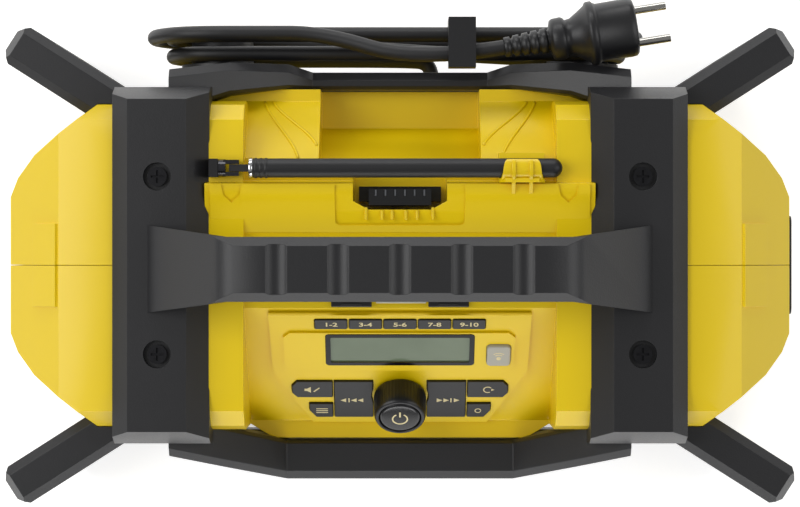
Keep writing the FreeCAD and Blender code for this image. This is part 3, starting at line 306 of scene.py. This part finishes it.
# Soft PVC: a little glossier than the lead's rubber, so that the rims of the plug catch the lamps.
plug_rubber = moulded("plug PVC", "171719", 0.40, 0.6, 0.3)
mains_plug = new_piece("mains_plug", plug_rings(), tube_faces(len(plug_profile), AROUND_PLUG), plug_rubber)
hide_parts("plug_body")


def mirrored_metal(name, colour, rough):
    """A plated or polished metal with faint wear in its polish."""
    material, output = blank_material(name)
    place = add_node(material, "ShaderNodeTexCoord")
    wear = add_node(material, "ShaderNodeTexNoise", {"Vector": place.outputs["Object"]}, Scale=400.0)
    dull = add_node(material, "ShaderNodeMapRange", {"Value": wear.outputs[0]})
    dull.inputs["To Min"].default_value = rough * 0.7
    dull.inputs["To Max"].default_value = rough * 1.3
    shader = add_node(material, "ShaderNodeBsdfPrincipled", {"Roughness": dull.outputs[0]})
    shader.inputs["Base Color"].default_value = hex_colour(colour)
    shader.inputs["Metallic"].default_value = 1.0
    material.node_tree.links.new(shader.outputs[0], output.inputs[0])
    return material


# Nickel plate: bright and faintly warm, with a worn polish that blurs what it mirrors.
nickel = mirrored_metal("nickel plate", "B9B7B2", 0.22)


def finish_node(name, material):
    """Give a CAD node's material slots their finish."""
    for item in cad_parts[name].material_slots:
        item.material = material


finish_node("plug_pins", nickel)
finish_node("cord_clip", plug_rubber)
finish_node("cord_gland", plug_rubber)


# The housing: two clamshell halves in glossy yellow ABS, moulded with a fine satin grain, that meet
# in a seam round the middle. Every outer corner has a moulded radius, which draws the bright edges.
yellow_abs = moulded("yellow ABS", "E9C800", 0.34, 0.7, 0.12, coat=0.15, mottle=0.015)


def softened(node, name, material, radius, body="root", segments=3, sharp=24):
    """Copy a CAD node's mesh, merge its loose triangles into flat faces and bevel every sharp edge."""
    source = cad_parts[node]
    mesh = source.data.copy()
    build = bmesh.new()
    build.from_mesh(mesh)
    bmesh.ops.remove_doubles(build, verts=build.verts, dist=2e-6)
    bmesh.ops.dissolve_limit(build, angle_limit=math.radians(1.5), verts=build.verts, edges=build.edges)
    build.to_mesh(mesh)
    build.free()
    mesh.materials.clear()
    mesh.materials.append(material)
    piece = bpy.data.objects.new(name, mesh)
    bpy.context.scene.collection.objects.link(piece)
    mesh.polygons.foreach_set("use_smooth", [True] * len(mesh.polygons))
    bevel = piece.modifiers.new("moulded radius", "BEVEL")
    bevel.width = radius
    bevel.segments = segments
    bevel.limit_method = "ANGLE"
    bevel.angle_limit = math.radians(sharp)
    bevel.miter_outer = "MITER_ARC"
    flat = piece.modifiers.new("flat faces stay flat", "WEIGHTED_NORMAL")
    flat.weight = 100
    flat.keep_sharp = False
    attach(piece, body)
    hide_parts(node)
    return piece


for half in ("front_housing", "rear_housing"):
    softened(half, half + "_shell", yellow_abs, 0.0022)
finish_node("control_fascia", yellow_abs)
softened("aerial_clip", "aerial_cradle", yellow_abs, 0.0008)


# The roll cage, straps and handle: thick black polypropylene with a coarse leather-like grain that
# breaks up the highlights, and generous radii all round.
cage_plastic = moulded("grained polypropylene", "1D1D1F", 0.40, 0.9, 0.7, mottle=0.06)
for way in ("front", "rear"):
    for side in ("left", "right"):
        node_name = "corner_guard_%s_%s" % (way, side)
        softened(node_name, node_name + "_bar", cage_plastic, 0.0035)
    for level in ("upper", "lower"):
        node_name = "%s_%s_rail" % (way, level)
        softened(node_name, node_name + "_bar", cage_plastic, 0.0030)
for side in ("left", "right"):
    softened("strap_" + side, side + "_saddle", cage_plastic, 0.0028)
softened("carry_handle", "handle_bar", cage_plastic, 0.0030, sharp=35)
softened("cord_cleats", "winding_cleats", cage_plastic, 0.0012, sharp=40)
softened("end_bumper", "right_bumper", cage_plastic, 0.0005, sharp=40)


# Keys and caps: black ABS moulded with a silky fine grain, each a little rounded at its edges. The
# pairing key beside the display is a warmer grey. Every key springs back on its own body.
key_plastic = moulded("silky black ABS", "121214", 0.36, 0.8, 0.2)
KEY_NODES = ["preset_key_%d" % number for number in range(1, 6)]
KEY_NODES += [name + "_key" for name in ("mute", "menu", "seek_back", "mode", "enter", "seek_forward")]
for node_name in KEY_NODES:
    softened(node_name, node_name + "_cap", key_plastic, 0.0005, body=node_name + "_body")
key_grey = moulded("grey ABS", "A9A79C", 0.4, 0.8, 0.2)
softened("pair_key", "pair_key_cap", key_grey, 0.0010, body="pair_key_body")


# Flaps and feet: pressed pieces of black elastomer, matt and faintly dusty. The flaps cover the two
# sockets behind the console, and the feet are glued under the four corner guards.
soft_rubber = moulded("black elastomer", "151517", 0.48, 0.6, 0.3)
for node_name, body in (("aux_flap", "aux_cover"), ("usb_flap", "usb_cover"), ("rubber_feet", "root")):
    softened(node_name, node_name + "_rubber", soft_rubber, 0.0006, body=body,
             sharp=40)


# Aerial: a rod in a rubber sheath on a plated fork that turns in a black socket. The plating is black
# nickel, dark but mirror-like, so that only its edges catch the lamps.
finish_node("aerial_socket", key_plastic)
black_nickel = mirrored_metal("black nickel plate", "4A4A4D", 0.22)
finish_node("aerial_knuckle", black_nickel)
finish_node("aerial_rod", soft_rubber)


# Strap screws: four cross-head steel screws, zinc plated and passivated black, sunk in the straps.
# The finish is dull enough to read as black with a soft metal sheen.
black_zinc = mirrored_metal("black zinc", "2E2E30", 0.4)
finish_node("strap_screws", black_zinc)


# Speakers: a punched steel grille, powder-coated satin black, over a coated paper cone that looks
# matt, in a zinc-plated steel frame with a soft grey shine and its magnet.
grille_paint = moulded("powder-coated steel", "131314", 0.5, 0.4, 0.3)
cone_paper = moulded("coated paper cone", "1B1A1A", 0.7, 1.2, 0.5)
inner_steel = mirrored_metal("zinc-plated steel", "8E9094", 0.35)
for side in ("left", "right"):
    finish_node("speaker_grille_" + side, grille_paint)
    finish_node("speaker_cone_" + side, cone_paper)
    finish_node("speaker_frame_" + side, inner_steel)


# Inside: circuit boards under glossy green lacquer, the mains transformer, the battery's steel contact
# blades in their black block, the knob's encoder, the display module and the two grey sockets.
board_lacquer = moulded("solder lacquer", "1C5A35", 0.35, 2.0, 0.1)
for node_name in ("main_board", "power_supply_board", "key_board"):
    finish_node(node_name, board_lacquer)
for node_name in ("transformer", "battery_terminal_blades"):
    finish_node(node_name, inner_steel)
for node_name in ("volume_encoder", "display_module", "battery_terminal_block"):
    finish_node(node_name, key_plastic)
for node_name in ("aux_jack", "usb_port"):
    finish_node(node_name, key_grey)


# The display: a clear acrylic window over a grey-green liquid crystal, set in the fascia. Its
# polished face mirrors the lamps, and the crystal behind it is faintly uneven.
def display_glass():
    """Grey-green panel seen through a glossy clear window, a little lighter or darker in random patches."""
    material, output = blank_material("liquid crystal behind acrylic")
    place = add_node(material, "ShaderNodeTexCoord")
    cloud = add_node(material, "ShaderNodeTexNoise", {"Vector": place.outputs["Object"]}, Scale=30.0)
    mix = add_node(material, "ShaderNodeMix", {"Factor": cloud.outputs[0]}, data_type="RGBA")
    mix.inputs[6].default_value = hex_colour("5C6A52")
    mix.inputs[7].default_value = hex_colour("738069")
    shader = add_node(material, "ShaderNodeBsdfPrincipled", {"Base Color": mix.outputs[2]}, Roughness=0.08)
    shader.inputs["Coat Weight"].default_value = 0.6
    shader.inputs["Coat Roughness"].default_value = 0.03
    material.node_tree.links.new(shader.outputs[0], output.inputs[0])
    return material


softened("display_window", "display_glass", display_glass(), 0.0004)


# Display bezel: a glossy black acrylic frame round the window, bonded to the fascia. It lies on the
# console's slope, whose foot and head give the plane that the legends and the knob share.
CONSOLE_FOOT = (0, -0.0935, 0.123)
CONSOLE_HEAD = (0, -0.0246, 0.195)
slope = math.atan2(CONSOLE_HEAD[2] - CONSOLE_FOOT[2], CONSOLE_HEAD[1] - CONSOLE_FOOT[1])
console_frame = Matrix.Translation(CONSOLE_FOOT) @ Matrix.Rotation(slope, 4, "X")


def from_console(points):
    """Take points from the console's own plane (right, up the slope, out of it) to the radio's frame."""
    local = np.asarray(points, float)
    turn = np.array(console_frame.to_3x3())
    return local @ turn.T + np.array(console_frame.translation)


LCD_HALF = (0.0435, 0.0135)
LCD_OPENING = (0.0405, 0.0108)
LCD_ROW = 0.0686
BEZEL_LOW, BEZEL_TOP = 0.0046, 0.0049
BEZEL_EDGE = 0.0004


def rounded_rectangle(half_x, half_y, radius, steps=6):
    """Points round a rectangle: in each quadrant the corner's centre plus its radius times (cos, sin)."""
    angle = np.linspace(0, math.pi / 2, steps)
    points = []
    for quarter, (sx, sy) in enumerate(((1, 1), (-1, 1), (-1, -1), (1, -1))):
        swing = angle + quarter * math.pi / 2
        points.append(np.stack([sx * (half_x - radius) + radius * np.cos(swing),
                                sy * (half_y - radius) + radius * np.sin(swing)], -1))
    return np.concatenate(points)


def framed_plate(name, outer, inner, centre, low, high, material, body="root"):
    """A flat frame: outer and inner outlines of equal count at two levels, the outer one drawn in at
    the top by a small bevel."""
    count = len(outer)
    shrink = 1 - BEZEL_EDGE / np.abs(outer).max()
    rings = []
    for outline, level in ((inner, low), (outer, low), (outer, high - BEZEL_EDGE), (outer * shrink, high),
                           (inner, high)):
        place = outline + np.array(centre)
        rings.append(np.column_stack([place, np.full(count, level)]))
    vertices = from_console(np.concatenate(rings))
    ring, step = np.meshgrid(np.arange(5), np.arange(count), indexing="ij")
    nxt = (step + 1) % count
    after = (ring + 1) % 5
    faces = np.stack([ring * count + step, ring * count + nxt, after * count + nxt,
                      after * count + step], -1).reshape(-1, 4)
    return new_piece(name, vertices, faces, material, body, smooth=False)


gloss_black = moulded("gloss black acrylic", "0C0C0E", 0.12, 2.0, 0.02)
bezel = framed_plate("display_bezel", rounded_rectangle(LCD_HALF[0], LCD_HALF[1], 0.002),
                     rounded_rectangle(LCD_OPENING[0], LCD_OPENING[1], 0.001), (0, LCD_ROW), BEZEL_LOW,
                     BEZEL_TOP, gloss_black)


# Printed legends: cream pad print a few hundredths of a millimetre thick on the key faces, plain
# numbers on the presets and plain signs on the other keys. The ink is matt beside the silky keys.
cream_print = moulded("cream pad print", "D9CB9B", 0.6, 0.5, 0.05)
PRINT_THICK = 0.00004


def printed_text(name, words, x, row, lift, height, body="root", wide=1.0):
    """Lettering on the console plane: drawn flat as a mesh, widened, turned with the slope and moved so
    that its middle is at x, row and lift."""
    data = bpy.data.curves.new(name, "FONT")
    data.body = words
    data.align_x = "CENTER"
    data.align_y = "CENTER"
    data.size = height / 0.7
    data.extrude = PRINT_THICK
    data.offset = height * 0.03
    text = bpy.data.objects.new(name + "_flat", data)
    mesh = bpy.data.meshes.new_from_object(text)
    bpy.data.objects.remove(text)
    mesh.name = name
    mesh.transform(Matrix.Diagonal((wide, 1, 1, 1)))
    mesh.transform(console_frame @ Matrix.Translation((x, row, lift)))
    mesh.materials.clear()
    mesh.materials.append(cream_print)
    piece = bpy.data.objects.new(name, mesh)
    bpy.context.scene.collection.objects.link(piece)
    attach(piece, body)
    return piece


def printed_shape(name, outlines, x, row, lift, body="root"):
    """Flat signs on the console plane: each outline at two levels, its walls between them and a lid
    on either side."""
    vertices, faces = [], []
    for outline in outlines:
        count = len(outline)
        start = len(vertices)
        for level in (0, PRINT_THICK):
            vertices += [(x + a, row + b, lift + level) for a, b in outline]
        faces.append([start + k for k in range(count)][::-1])
        faces.append([start + count + k for k in range(count)])
        faces += [[start + k, start + (k + 1) % count, start + count + (k + 1) % count, start + count + k]
                  for k in range(count)]
    piece = new_piece(name, from_console(vertices), faces, cream_print, body, smooth=False)
    return piece


KEY_FACE = 0.0045
PRESET_PITCH = 0.020
PRESET_ROW = 0.0896
for number in range(1, 6):
    printed_text("preset_legend_%d" % number, "%d-%d" % (2 * number - 1, 2 * number),
                 (number - 3) * PRESET_PITCH, PRESET_ROW, KEY_FACE - 0.0005, 0.0032,
                 "preset_key_%d_body" % number, 1.3)


def triangle(x, half, way):
    """A filled arrow head that points along way, its corners in turning order."""
    tip = [(x + way * half, 0), (x - way * half * 0.6, half * 0.8), (x - way * half * 0.6, -half * 0.8)]
    return tip if way > 0 else tip[::-1]


def bar(x, y, wide, high):
    """A filled rectangle round a centre."""
    return [(x - wide / 2, y - high / 2), (x + wide / 2, y - high / 2), (x + wide / 2, y + high / 2),
            (x - wide / 2, y + high / 2)]


ARROW = 0.0021
SEEK_ROW = 0.0235
for way, side in ((-1, "back"), (1, "forward")):
    signs = [triangle(way * (-0.0044 + k * 0.0040), ARROW, way) for k in (0, 1)]
    signs += [bar(way * 0.0028, 0, 0.0007, 0.0036), triangle(way * 0.0058, ARROW, way)]
    printed_shape("seek_%s_sign" % side, signs, way * 0.0275, SEEK_ROW, KEY_FACE, "seek_%s_key_body" % side)


def ring_outline(radius, thick, start, end, steps=20):
    """A curved band: an arc of the outer radius from start to end and one of the inner radius back."""
    angle = np.radians(np.linspace(start, end, steps))
    outer = [(radius * math.cos(a), radius * math.sin(a)) for a in angle]
    inner = [((radius - thick) * math.cos(a), (radius - thick) * math.sin(a)) for a in angle[::-1]]
    return outer + inner


UPPER_ROW, LOWER_ROW = 0.033, 0.014
OUTER_COLUMN, INNER_COLUMN = 0.052, 0.0465
PAIR_PLACE = (0.0576, 0.0630, 0.0065)
sound_horn = [(-0.0046, -0.001), (-0.003, -0.001), (-0.0008, -0.0026), (-0.0008, 0.0026),
              (-0.003, 0.001), (-0.0046, 0.001)]
slash = [(0.0006, -0.0014), (0.0012, -0.0020), (0.0046, 0.0014), (0.0040, 0.0020)]
printed_shape("mute_sign", [sound_horn, slash], -OUTER_COLUMN, UPPER_ROW, KEY_FACE, "mute_key_body")
printed_shape("menu_sign", [bar(0, k * 0.0017, 0.0070, 0.0007) for k in (-1, 0, 1)], -INNER_COLUMN,
              LOWER_ROW, KEY_FACE, "menu_key_body")
printed_shape("mode_sign", [ring_outline(0.0028, 0.0007, 40, 300), triangle(0.0028, 0.0012, 1)],
              OUTER_COLUMN, UPPER_ROW, KEY_FACE, "mode_key_body")
printed_shape("enter_sign", [ring_outline(0.0020, 0.0006, 0, 350)], INNER_COLUMN, LOWER_ROW, KEY_FACE,
              "enter_key_body")
waves = [ring_outline(radius, 0.0006, 50, 130, 10) for radius in (0.0050, 0.0034)]
printed_shape("pair_sign", waves + [ring_outline(0.0014, 0.0012, 0, 340, 14)], *PAIR_PLACE,
              "pair_key_body")


# The volume knob: black ABS turned from one profile, with fine grip ribs moulded down its side. It
# runs on a bush through the fascia, and its hollow end holds the power button.
KNOB_ROW = 0.027
KNOB_LOW, KNOB_HIGH = 0.0036, 0.0216
KNOB_BORE = 0.0046
KNOB_RIBS = 48
RIB_DEPTH = 0.00022


def knob_rings():
    """Rings of the knob: each profile radius turned about the axis, less a rib's depth times
    (1 + cos(ribs x angle)) / 2 on the ribbed part of the wall."""
    angle = np.linspace(0, 2 * math.pi, KNOB_RIBS * 6, endpoint=False)
    rib = RIB_DEPTH * (0.5 + 0.5 * np.cos(angle * KNOB_RIBS))
    profile = [(KNOB_BORE, KNOB_LOW, 0), (0.0140, KNOB_LOW, 0), (0.0153, KNOB_LOW + 0.0006, 0),
               (0.0156, KNOB_LOW + 0.0020, 1), (0.0153, KNOB_HIGH - 0.0040, 1),
               (0.0151, KNOB_HIGH - 0.0022, 0), (0.0144, KNOB_HIGH - 0.0007, 0), (0.0134, KNOB_HIGH, 0),
               (0.0126, KNOB_HIGH - 0.0003, 0), (0.01245, KNOB_HIGH - 0.0010, 0),
               (0.01240, KNOB_HIGH - 0.0040, 0), (KNOB_BORE, KNOB_HIGH - 0.0040, 0)]
    rings = []
    for radius, level, ribbed in profile:
        wall = radius - ribbed * rib
        rings.append(np.column_stack([wall * np.cos(angle), KNOB_ROW + wall * np.sin(angle),
                                      np.full(len(angle), level)]))
    return from_console(np.concatenate(rings)), len(profile), len(angle)


def ring_faces(rings, around):
    """Quads between successive rings and from the last back to the first, a closed ring."""
    ring, step = np.meshgrid(np.arange(rings), np.arange(around), indexing="ij")
    nxt = (step + 1) % around
    after = (ring + 1) % rings
    return np.stack([ring * around + step, ring * around + nxt, after * around + nxt,
                     after * around + step], -1).reshape(-1, 4)


knob_points, knob_ring_count, knob_around = knob_rings()
knob_shell = new_piece("volume_knob_cap", knob_points, ring_faces(knob_ring_count, knob_around),
                       key_plastic, "knob")
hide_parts("volume_knob")


# The power button: a polished black ABS cap with a shallow dome that gathers one bright spot, on a
# stem that runs down the knob's bore. It carries the standby sign in the keys' cream print.
CAP_RADIUS = 0.0120
STEM_RADIUS = 0.0022
AROUND_CAP = 72
SIGN_LIFT = KNOB_HIGH + 0.00058


def dome_rings():
    """Rings of the button: stem, underside and wall, then a dome whose radius falls with the cosine
    and whose height grows with the sine of the bend, closed in a pole."""
    angle = np.linspace(0, 2 * math.pi, AROUND_CAP, endpoint=False)
    wall = CAP_RADIUS
    top = KNOB_HIGH + 0.0006
    profile = [(STEM_RADIUS, -0.0036), (STEM_RADIUS, KNOB_HIGH - 0.0026), (wall - 0.0003, KNOB_HIGH - 0.0026),
               (wall, KNOB_HIGH - 0.0022), (wall, top - 0.0016), (wall - 0.0004, top - 0.0011)]
    profile += [((wall - 0.0005) * math.cos(bend), top - 0.0010 + 0.0010 * math.sin(bend))
                for bend in np.linspace(0.35, 1.54, 10)]
    rings = [np.column_stack([radius * np.cos(angle), KNOB_ROW + radius * np.sin(angle),
                              np.full(AROUND_CAP, level)]) for radius, level in profile]
    return from_console(np.concatenate(rings)), len(profile)


button_points, button_ring_count = dome_rings()
button_gloss = moulded("polished black ABS", "101012", 0.2, 1.0, 0.05)
power_dome = new_piece("power_button_dome", button_points, tube_faces(button_ring_count, AROUND_CAP),
                       button_gloss, "power")
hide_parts("power_button")
printed_shape("power_sign", [ring_outline(0.0048, 0.0009, 120, 420, 30), bar(0, 0.0038, 0.0010, 0.0044)],
              0, KNOB_ROW, SIGN_LIFT, "power")


# Shelf step: in front of the dock the yellow shell is one step higher than the U-shaped landing round
# the battery contacts, and has a finger dimple in each outer corner. It is moulded with the shell.
SHELF_FRONT = (0.0180, 0.1950)
SHELF_EDGE = (0.0410, 0.2050)
SHELF_BACK = 0.0464
SHELF_LIFT = 0.0012
SHELF_SUNK = 0.0004
SHELF_ROWS = 9


def eased_edges(piece, width, angle=30):
    """Round each edge that turns by more than an angle, and shade the flats as flat."""
    bevel = piece.modifiers.new("moulded radius", "BEVEL")
    bevel.width = width
    bevel.segments = 2
    bevel.angle_limit = math.radians(angle)
    flat = piece.modifiers.new("flat faces stay flat", "WEIGHTED_NORMAL")
    flat.weight = 100


def shelf_level(y):
    """Height of the shelf: a straight slope up to its edge and level behind it."""
    rise = (SHELF_EDGE[1] - SHELF_FRONT[1]) / (SHELF_EDGE[0] - SHELF_FRONT[0])
    return np.minimum(SHELF_FRONT[1] + rise * (np.asarray(y) - SHELF_FRONT[0]), SHELF_EDGE[1])


def shelf_skin(side):
    """Right or left half of the step as a grid: each column runs from a front to a back edge that
    follow the U and the dimple, at the shelf's height plus the lift, over a sunk copy of itself."""
    x = np.array([0.0, 0.0340, 0.0362, 0.0371, 0.0374, 0.0500, 0.0880, 0.0905, 0.0920, 0.0965, 0.1010,
                  0.1025, 0.1050, 0.1080, 0.1089])
    front = np.array([0.0190] * 13 + [0.0196, 0.0215])
    back = np.array([0.0230, 0.0230, 0.0236, 0.0250] + [SHELF_BACK] * 4 + [0.0400, 0.0360, 0.0400]
                    + [SHELF_BACK] * 4)
    y = front[:, None] + (back - front)[:, None] * np.linspace(0, 1, SHELF_ROWS)
    edge = SHELF_EDGE[0]
    near = np.abs(y - edge) < 0.0012
    y = np.where(near & (back[:, None] > edge + 0.002), edge, y)
    level = shelf_level(y)
    across = np.broadcast_to(side * x[:, None], y.shape)
    top = np.stack([across, y, level + SHELF_LIFT], -1)
    low = np.stack([across, y, level - SHELF_SUNK], -1)
    wide, long = y.shape
    vertices = np.concatenate([top.reshape(-1, 3), low.reshape(-1, 3)])
    column, row = np.meshgrid(np.arange(wide - 1), np.arange(long - 1), indexing="ij")
    first = column * long + row
    roof = np.stack([first, first + long, first + long + 1, first + 1], -1).reshape(-1, 4)
    under = roof[:, ::-1] + wide * long
    index = np.arange(wide * long).reshape(wide, long)
    rim = np.concatenate([index[:, 0], index[-1, 1:], index[-2::-1, -1], index[0, -2:0:-1]])
    after = np.roll(rim, -1)
    walls = np.stack([rim, rim + wide * long, after + wide * long, after], -1)
    faces = np.concatenate([roof, under, walls])
    return vertices, faces if side > 0 else faces[:, ::-1]


for side, side_name in ((1, "right"), (-1, "left")):
    points, faces = shelf_skin(side)
    skin = new_piece("shelf_step_" + side_name, points, faces, yellow_abs)
    eased_edges(skin, 0.0007, 40)


# Contact ribs: six short ribs of the shell in front of the contact blades guide the battery down to
# them. Their gaps are uneven, and the outer two reach a little further back.
RIB_X = (-0.0195, -0.0103, -0.0046, 0.0034, 0.0098, 0.0189)
RIB_HALF = 0.0008
RIB_FRONT, RIB_BACK, OUTER_RIB_BACK = 0.0262, 0.0318, 0.0334
RIB_LOW, RIB_HIGH = 0.1965, 0.2020


def small_blocks(name, boxes, material, radius, body="root"):
    """Several little blocks in one piece: each corner is the low corner plus the spans that its
    number in base two picks."""
    corners = np.array([(i, j, k) for i in (0, 1) for j in (0, 1) for k in (0, 1)], float)
    quads = np.array([(0, 1, 3, 2), (4, 6, 7, 5), (0, 4, 5, 1), (2, 3, 7, 6), (0, 2, 6, 4), (1, 5, 7, 3)])
    boxes = np.asarray(boxes, float)
    vertices = boxes[:, None, 0] + corners * (boxes[:, 1] - boxes[:, 0])[:, None]
    faces = quads + 8 * np.arange(len(boxes))[:, None, None]
    piece = new_piece(name, vertices.reshape(-1, 3), faces.reshape(-1, 4), material, body)
    eased_edges(piece, radius)
    return piece


ribs = []
for x in RIB_X:
    rib_back = OUTER_RIB_BACK if abs(x) > 0.018 else RIB_BACK
    ribs.append([(x - RIB_HALF, RIB_FRONT, RIB_LOW), (x + RIB_HALF, rib_back, RIB_HIGH)])
small_blocks("contact_ribs", ribs, yellow_abs, 0.0004)


# Dock beads: on each side of the battery bay two fine moulded beads sweep from the dock's back edge
# forward to the bay, each an S whose bend eases in and out.
DOCK_FRONT = (0.062, 0.188)
DOCK_BACK = (0.097, 0.150)
BEAD_RADIUS = 0.0009
BEADS = ((0.0800, 0.0590, 1.0), (0.0752, 0.0485, 0.78))


def rounded_strip(name, path, radius, material, body="root", around=10):
    """A round bead: at each point of the path a circle square to it, the point plus the radius times
    (cos a x across - sin a x up)."""
    path = np.asarray(path, float)
    way = np.gradient(path, axis=0)
    way /= np.linalg.norm(way, axis=1)[:, None]
    across = np.cross(way, (0.0, 0.0, 1.0))
    across /= np.linalg.norm(across, axis=1)[:, None]
    up = np.cross(across, way)
    angle = np.linspace(0, 2 * math.pi, around, endpoint=False)
    rings = (path[:, None] + radius * (np.cos(angle)[:, None] * across[:, None]
                                       - np.sin(angle)[:, None] * up[:, None]))
    return new_piece(name, rings.reshape(-1, 3), tube_faces(len(path), around), material, body)


for side, side_name in ((1, "right"), (-1, "left")):
    for number, (x_back, x_front, end) in enumerate(BEADS, 1):
        share = np.linspace(0.02, end, 25)
        along = share / end
        ease = along ** 2 * (3 - 2 * along)
        place = np.stack([side * (x_back + (x_front - x_back) * (0.55 * ease + 0.45 * along)),
                          DOCK_BACK[0] + (DOCK_FRONT[0] - DOCK_BACK[0]) * share,
                          DOCK_BACK[1] + (DOCK_FRONT[1] - DOCK_BACK[1]) * share], -1)
        rounded_strip("dock_bead_%s_%d" % (side_name, number), place, BEAD_RADIUS, yellow_abs)


# Ledge strip and flap lips: a pale bare strip of ABS is set in the ledge between the two flaps. Each
# flap has a finger lip at its front edge and a short raised bar behind it, moulded with the rubber.
FLAP_PLACES = (("aux_cover", -0.028), ("usb_cover", 0.028))
LIP_HALF, BAR_HALF = 0.0060, 0.0016
pale_abs = moulded("pale ABS", "CFCBB8", 0.4, 0.8, 0.15)
small_blocks("socket_strip", [[(-0.0138, -0.0219, 0.1948), (0.0150, -0.0169, 0.1956)]], pale_abs, 0.0003)
for body, x in FLAP_PLACES:
    small_blocks(body + "_lip", [[(x - LIP_HALF, -0.0236, 0.1976), (x + LIP_HALF, -0.0224, 0.1991)],
                                 [(x - BAR_HALF, -0.0208, 0.1978), (x + BAR_HALF, -0.0182, 0.1987)]],
                 soft_rubber, 0.0004, body)


# Aerial root: a chrome-plated collar crimped on the rod, then three rings moulded in the sheath. Both
# are turned about the rod's axis, which lies along X at this Y and Z.
AERIAL = (0.0557, 0.2060)
SHEATH_RADIUS, RING_RADIUS = 0.0055, 0.0058
RING_START, RING_PITCH = -0.0834, 0.0030


def turned_on_aerial(name, stations, material, body="aerial", around=36):
    """A turned piece: at each station's place along the axis a circle of its radius."""
    angle = np.linspace(0, 2 * math.pi, around, endpoint=False)
    rings = [np.stack([np.full(around, x), AERIAL[0] + radius * np.cos(angle),
                       AERIAL[1] + radius * np.sin(angle)], -1) for x, radius in stations]
    return new_piece(name, np.concatenate(rings), tube_faces(len(stations), around), material, body)


# Chrome plate: nearly white and sharp, so that the collar reads as a bright line on the black rod.
chrome = mirrored_metal("chrome plate", "D8D8DA", 0.12)
turned_on_aerial("aerial_collar", [(-0.0866, 0.0030), (-0.0866, 0.0056), (-0.0862, 0.0060),
                                   (-0.0846, 0.0060), (-0.0842, 0.0056), (-0.0842, 0.0030)], chrome)
root_rings = [(-0.0838, 0.0050)]
for ring in range(3):
    start = RING_START + ring * RING_PITCH
    root_rings += [(start, SHEATH_RADIUS), (start + 0.0004, RING_RADIUS), (start + 0.0014, RING_RADIUS),
                   (start + 0.0018, SHEATH_RADIUS)]
root_rings += [(-0.0742, 0.0050)]
turned_on_aerial("aerial_root_rings", root_rings, soft_rubber)


# Aerial clip hook: the clip's wall curls over the sheath and two ridges run up it, all moulded in
# yellow ABS thin enough to spring aside when the aerial is lifted out.
CLIP_X = 0.0698
HOOK_INNER, HOOK_OUTER = 0.0060, 0.0077
RIDGE_INNER, RIDGE_OUTER = 0.0074, 0.0092
RIDGE_HALF = 0.0011
RIDGE_MIDDLES = (-0.0049, 0.0051)
HOOK_FOOT, HOOK_END, RIDGE_END = 188, 48, 62


def curled(name, inner, outer, halves, middle, end):
    """A strip bent round the aerial's axis: at even angles from its foot to its end a section between
    two radii, as wide as the halves give."""
    angle = np.radians(np.linspace(HOOK_FOOT, end, len(halves)))
    halves = np.asarray(halves)
    rings = [np.stack([CLIP_X + middle + side * halves, AERIAL[0] + radius * np.cos(angle),
                       AERIAL[1] + radius * np.sin(angle)], -1)
             for side, radius in ((-1, outer), (1, outer), (1, inner), (-1, inner))]
    piece = new_piece(name, np.stack(rings, 1).reshape(-1, 3), tube_faces(len(halves), 4), yellow_abs)
    eased_edges(piece, 0.0004, 40)
    return piece


hook_halves = 0.001 * np.array([13, 12.8, 12.5, 12.1, 11.8, 11.5, 11.2, 11.0, 10.8, 10.6, 10.3, 9.8, 8.8])
curled("aerial_hook", HOOK_INNER, HOOK_OUTER, hook_halves, 0, HOOK_END)
for number, middle in enumerate(RIDGE_MIDDLES, 1):
    curled("aerial_hook_ridge_%d" % number, RIDGE_INNER, RIDGE_OUTER, [RIDGE_HALF] * 11, middle, RIDGE_END)


# Speaker rims: a rolled ring of the powder-coated steel round each grille, with a finer bead inside it
# where the grille's flat begins.
SPEAKER_PLACE = (0.134, 0.098)
RIMS = ((0.0388, 0.0012, -0.0978), (0.0305, 0.0007, -0.0994))


def ring_bead(name, centre, radius, thick, material, around=96, section=10):
    """A torus that faces the front: ring radius plus thick times cos b, turned about Y by a, and
    thick times sin b along Y."""
    turn, angle = np.meshgrid(np.linspace(0, 2 * math.pi, around, endpoint=False),
                              np.linspace(0, 2 * math.pi, section, endpoint=False), indexing="ij")
    wide = radius + thick * np.cos(angle)
    vertices = np.stack([centre[0] + wide * np.cos(turn), centre[1] + thick * np.sin(angle),
                         centre[2] + wide * np.sin(turn)], -1)
    return new_piece(name, vertices.reshape(-1, 3), ring_faces(around, section), material)


for side, side_name in ((1, "right"), (-1, "left")):
    for number, (radius, thick, y) in enumerate(RIMS, 1):
        ring_bead("speaker_rim_%s_%d" % (side_name, number),
                  (side * SPEAKER_PLACE[0], y, SPEAKER_PLACE[1]), radius, thick, grille_paint)
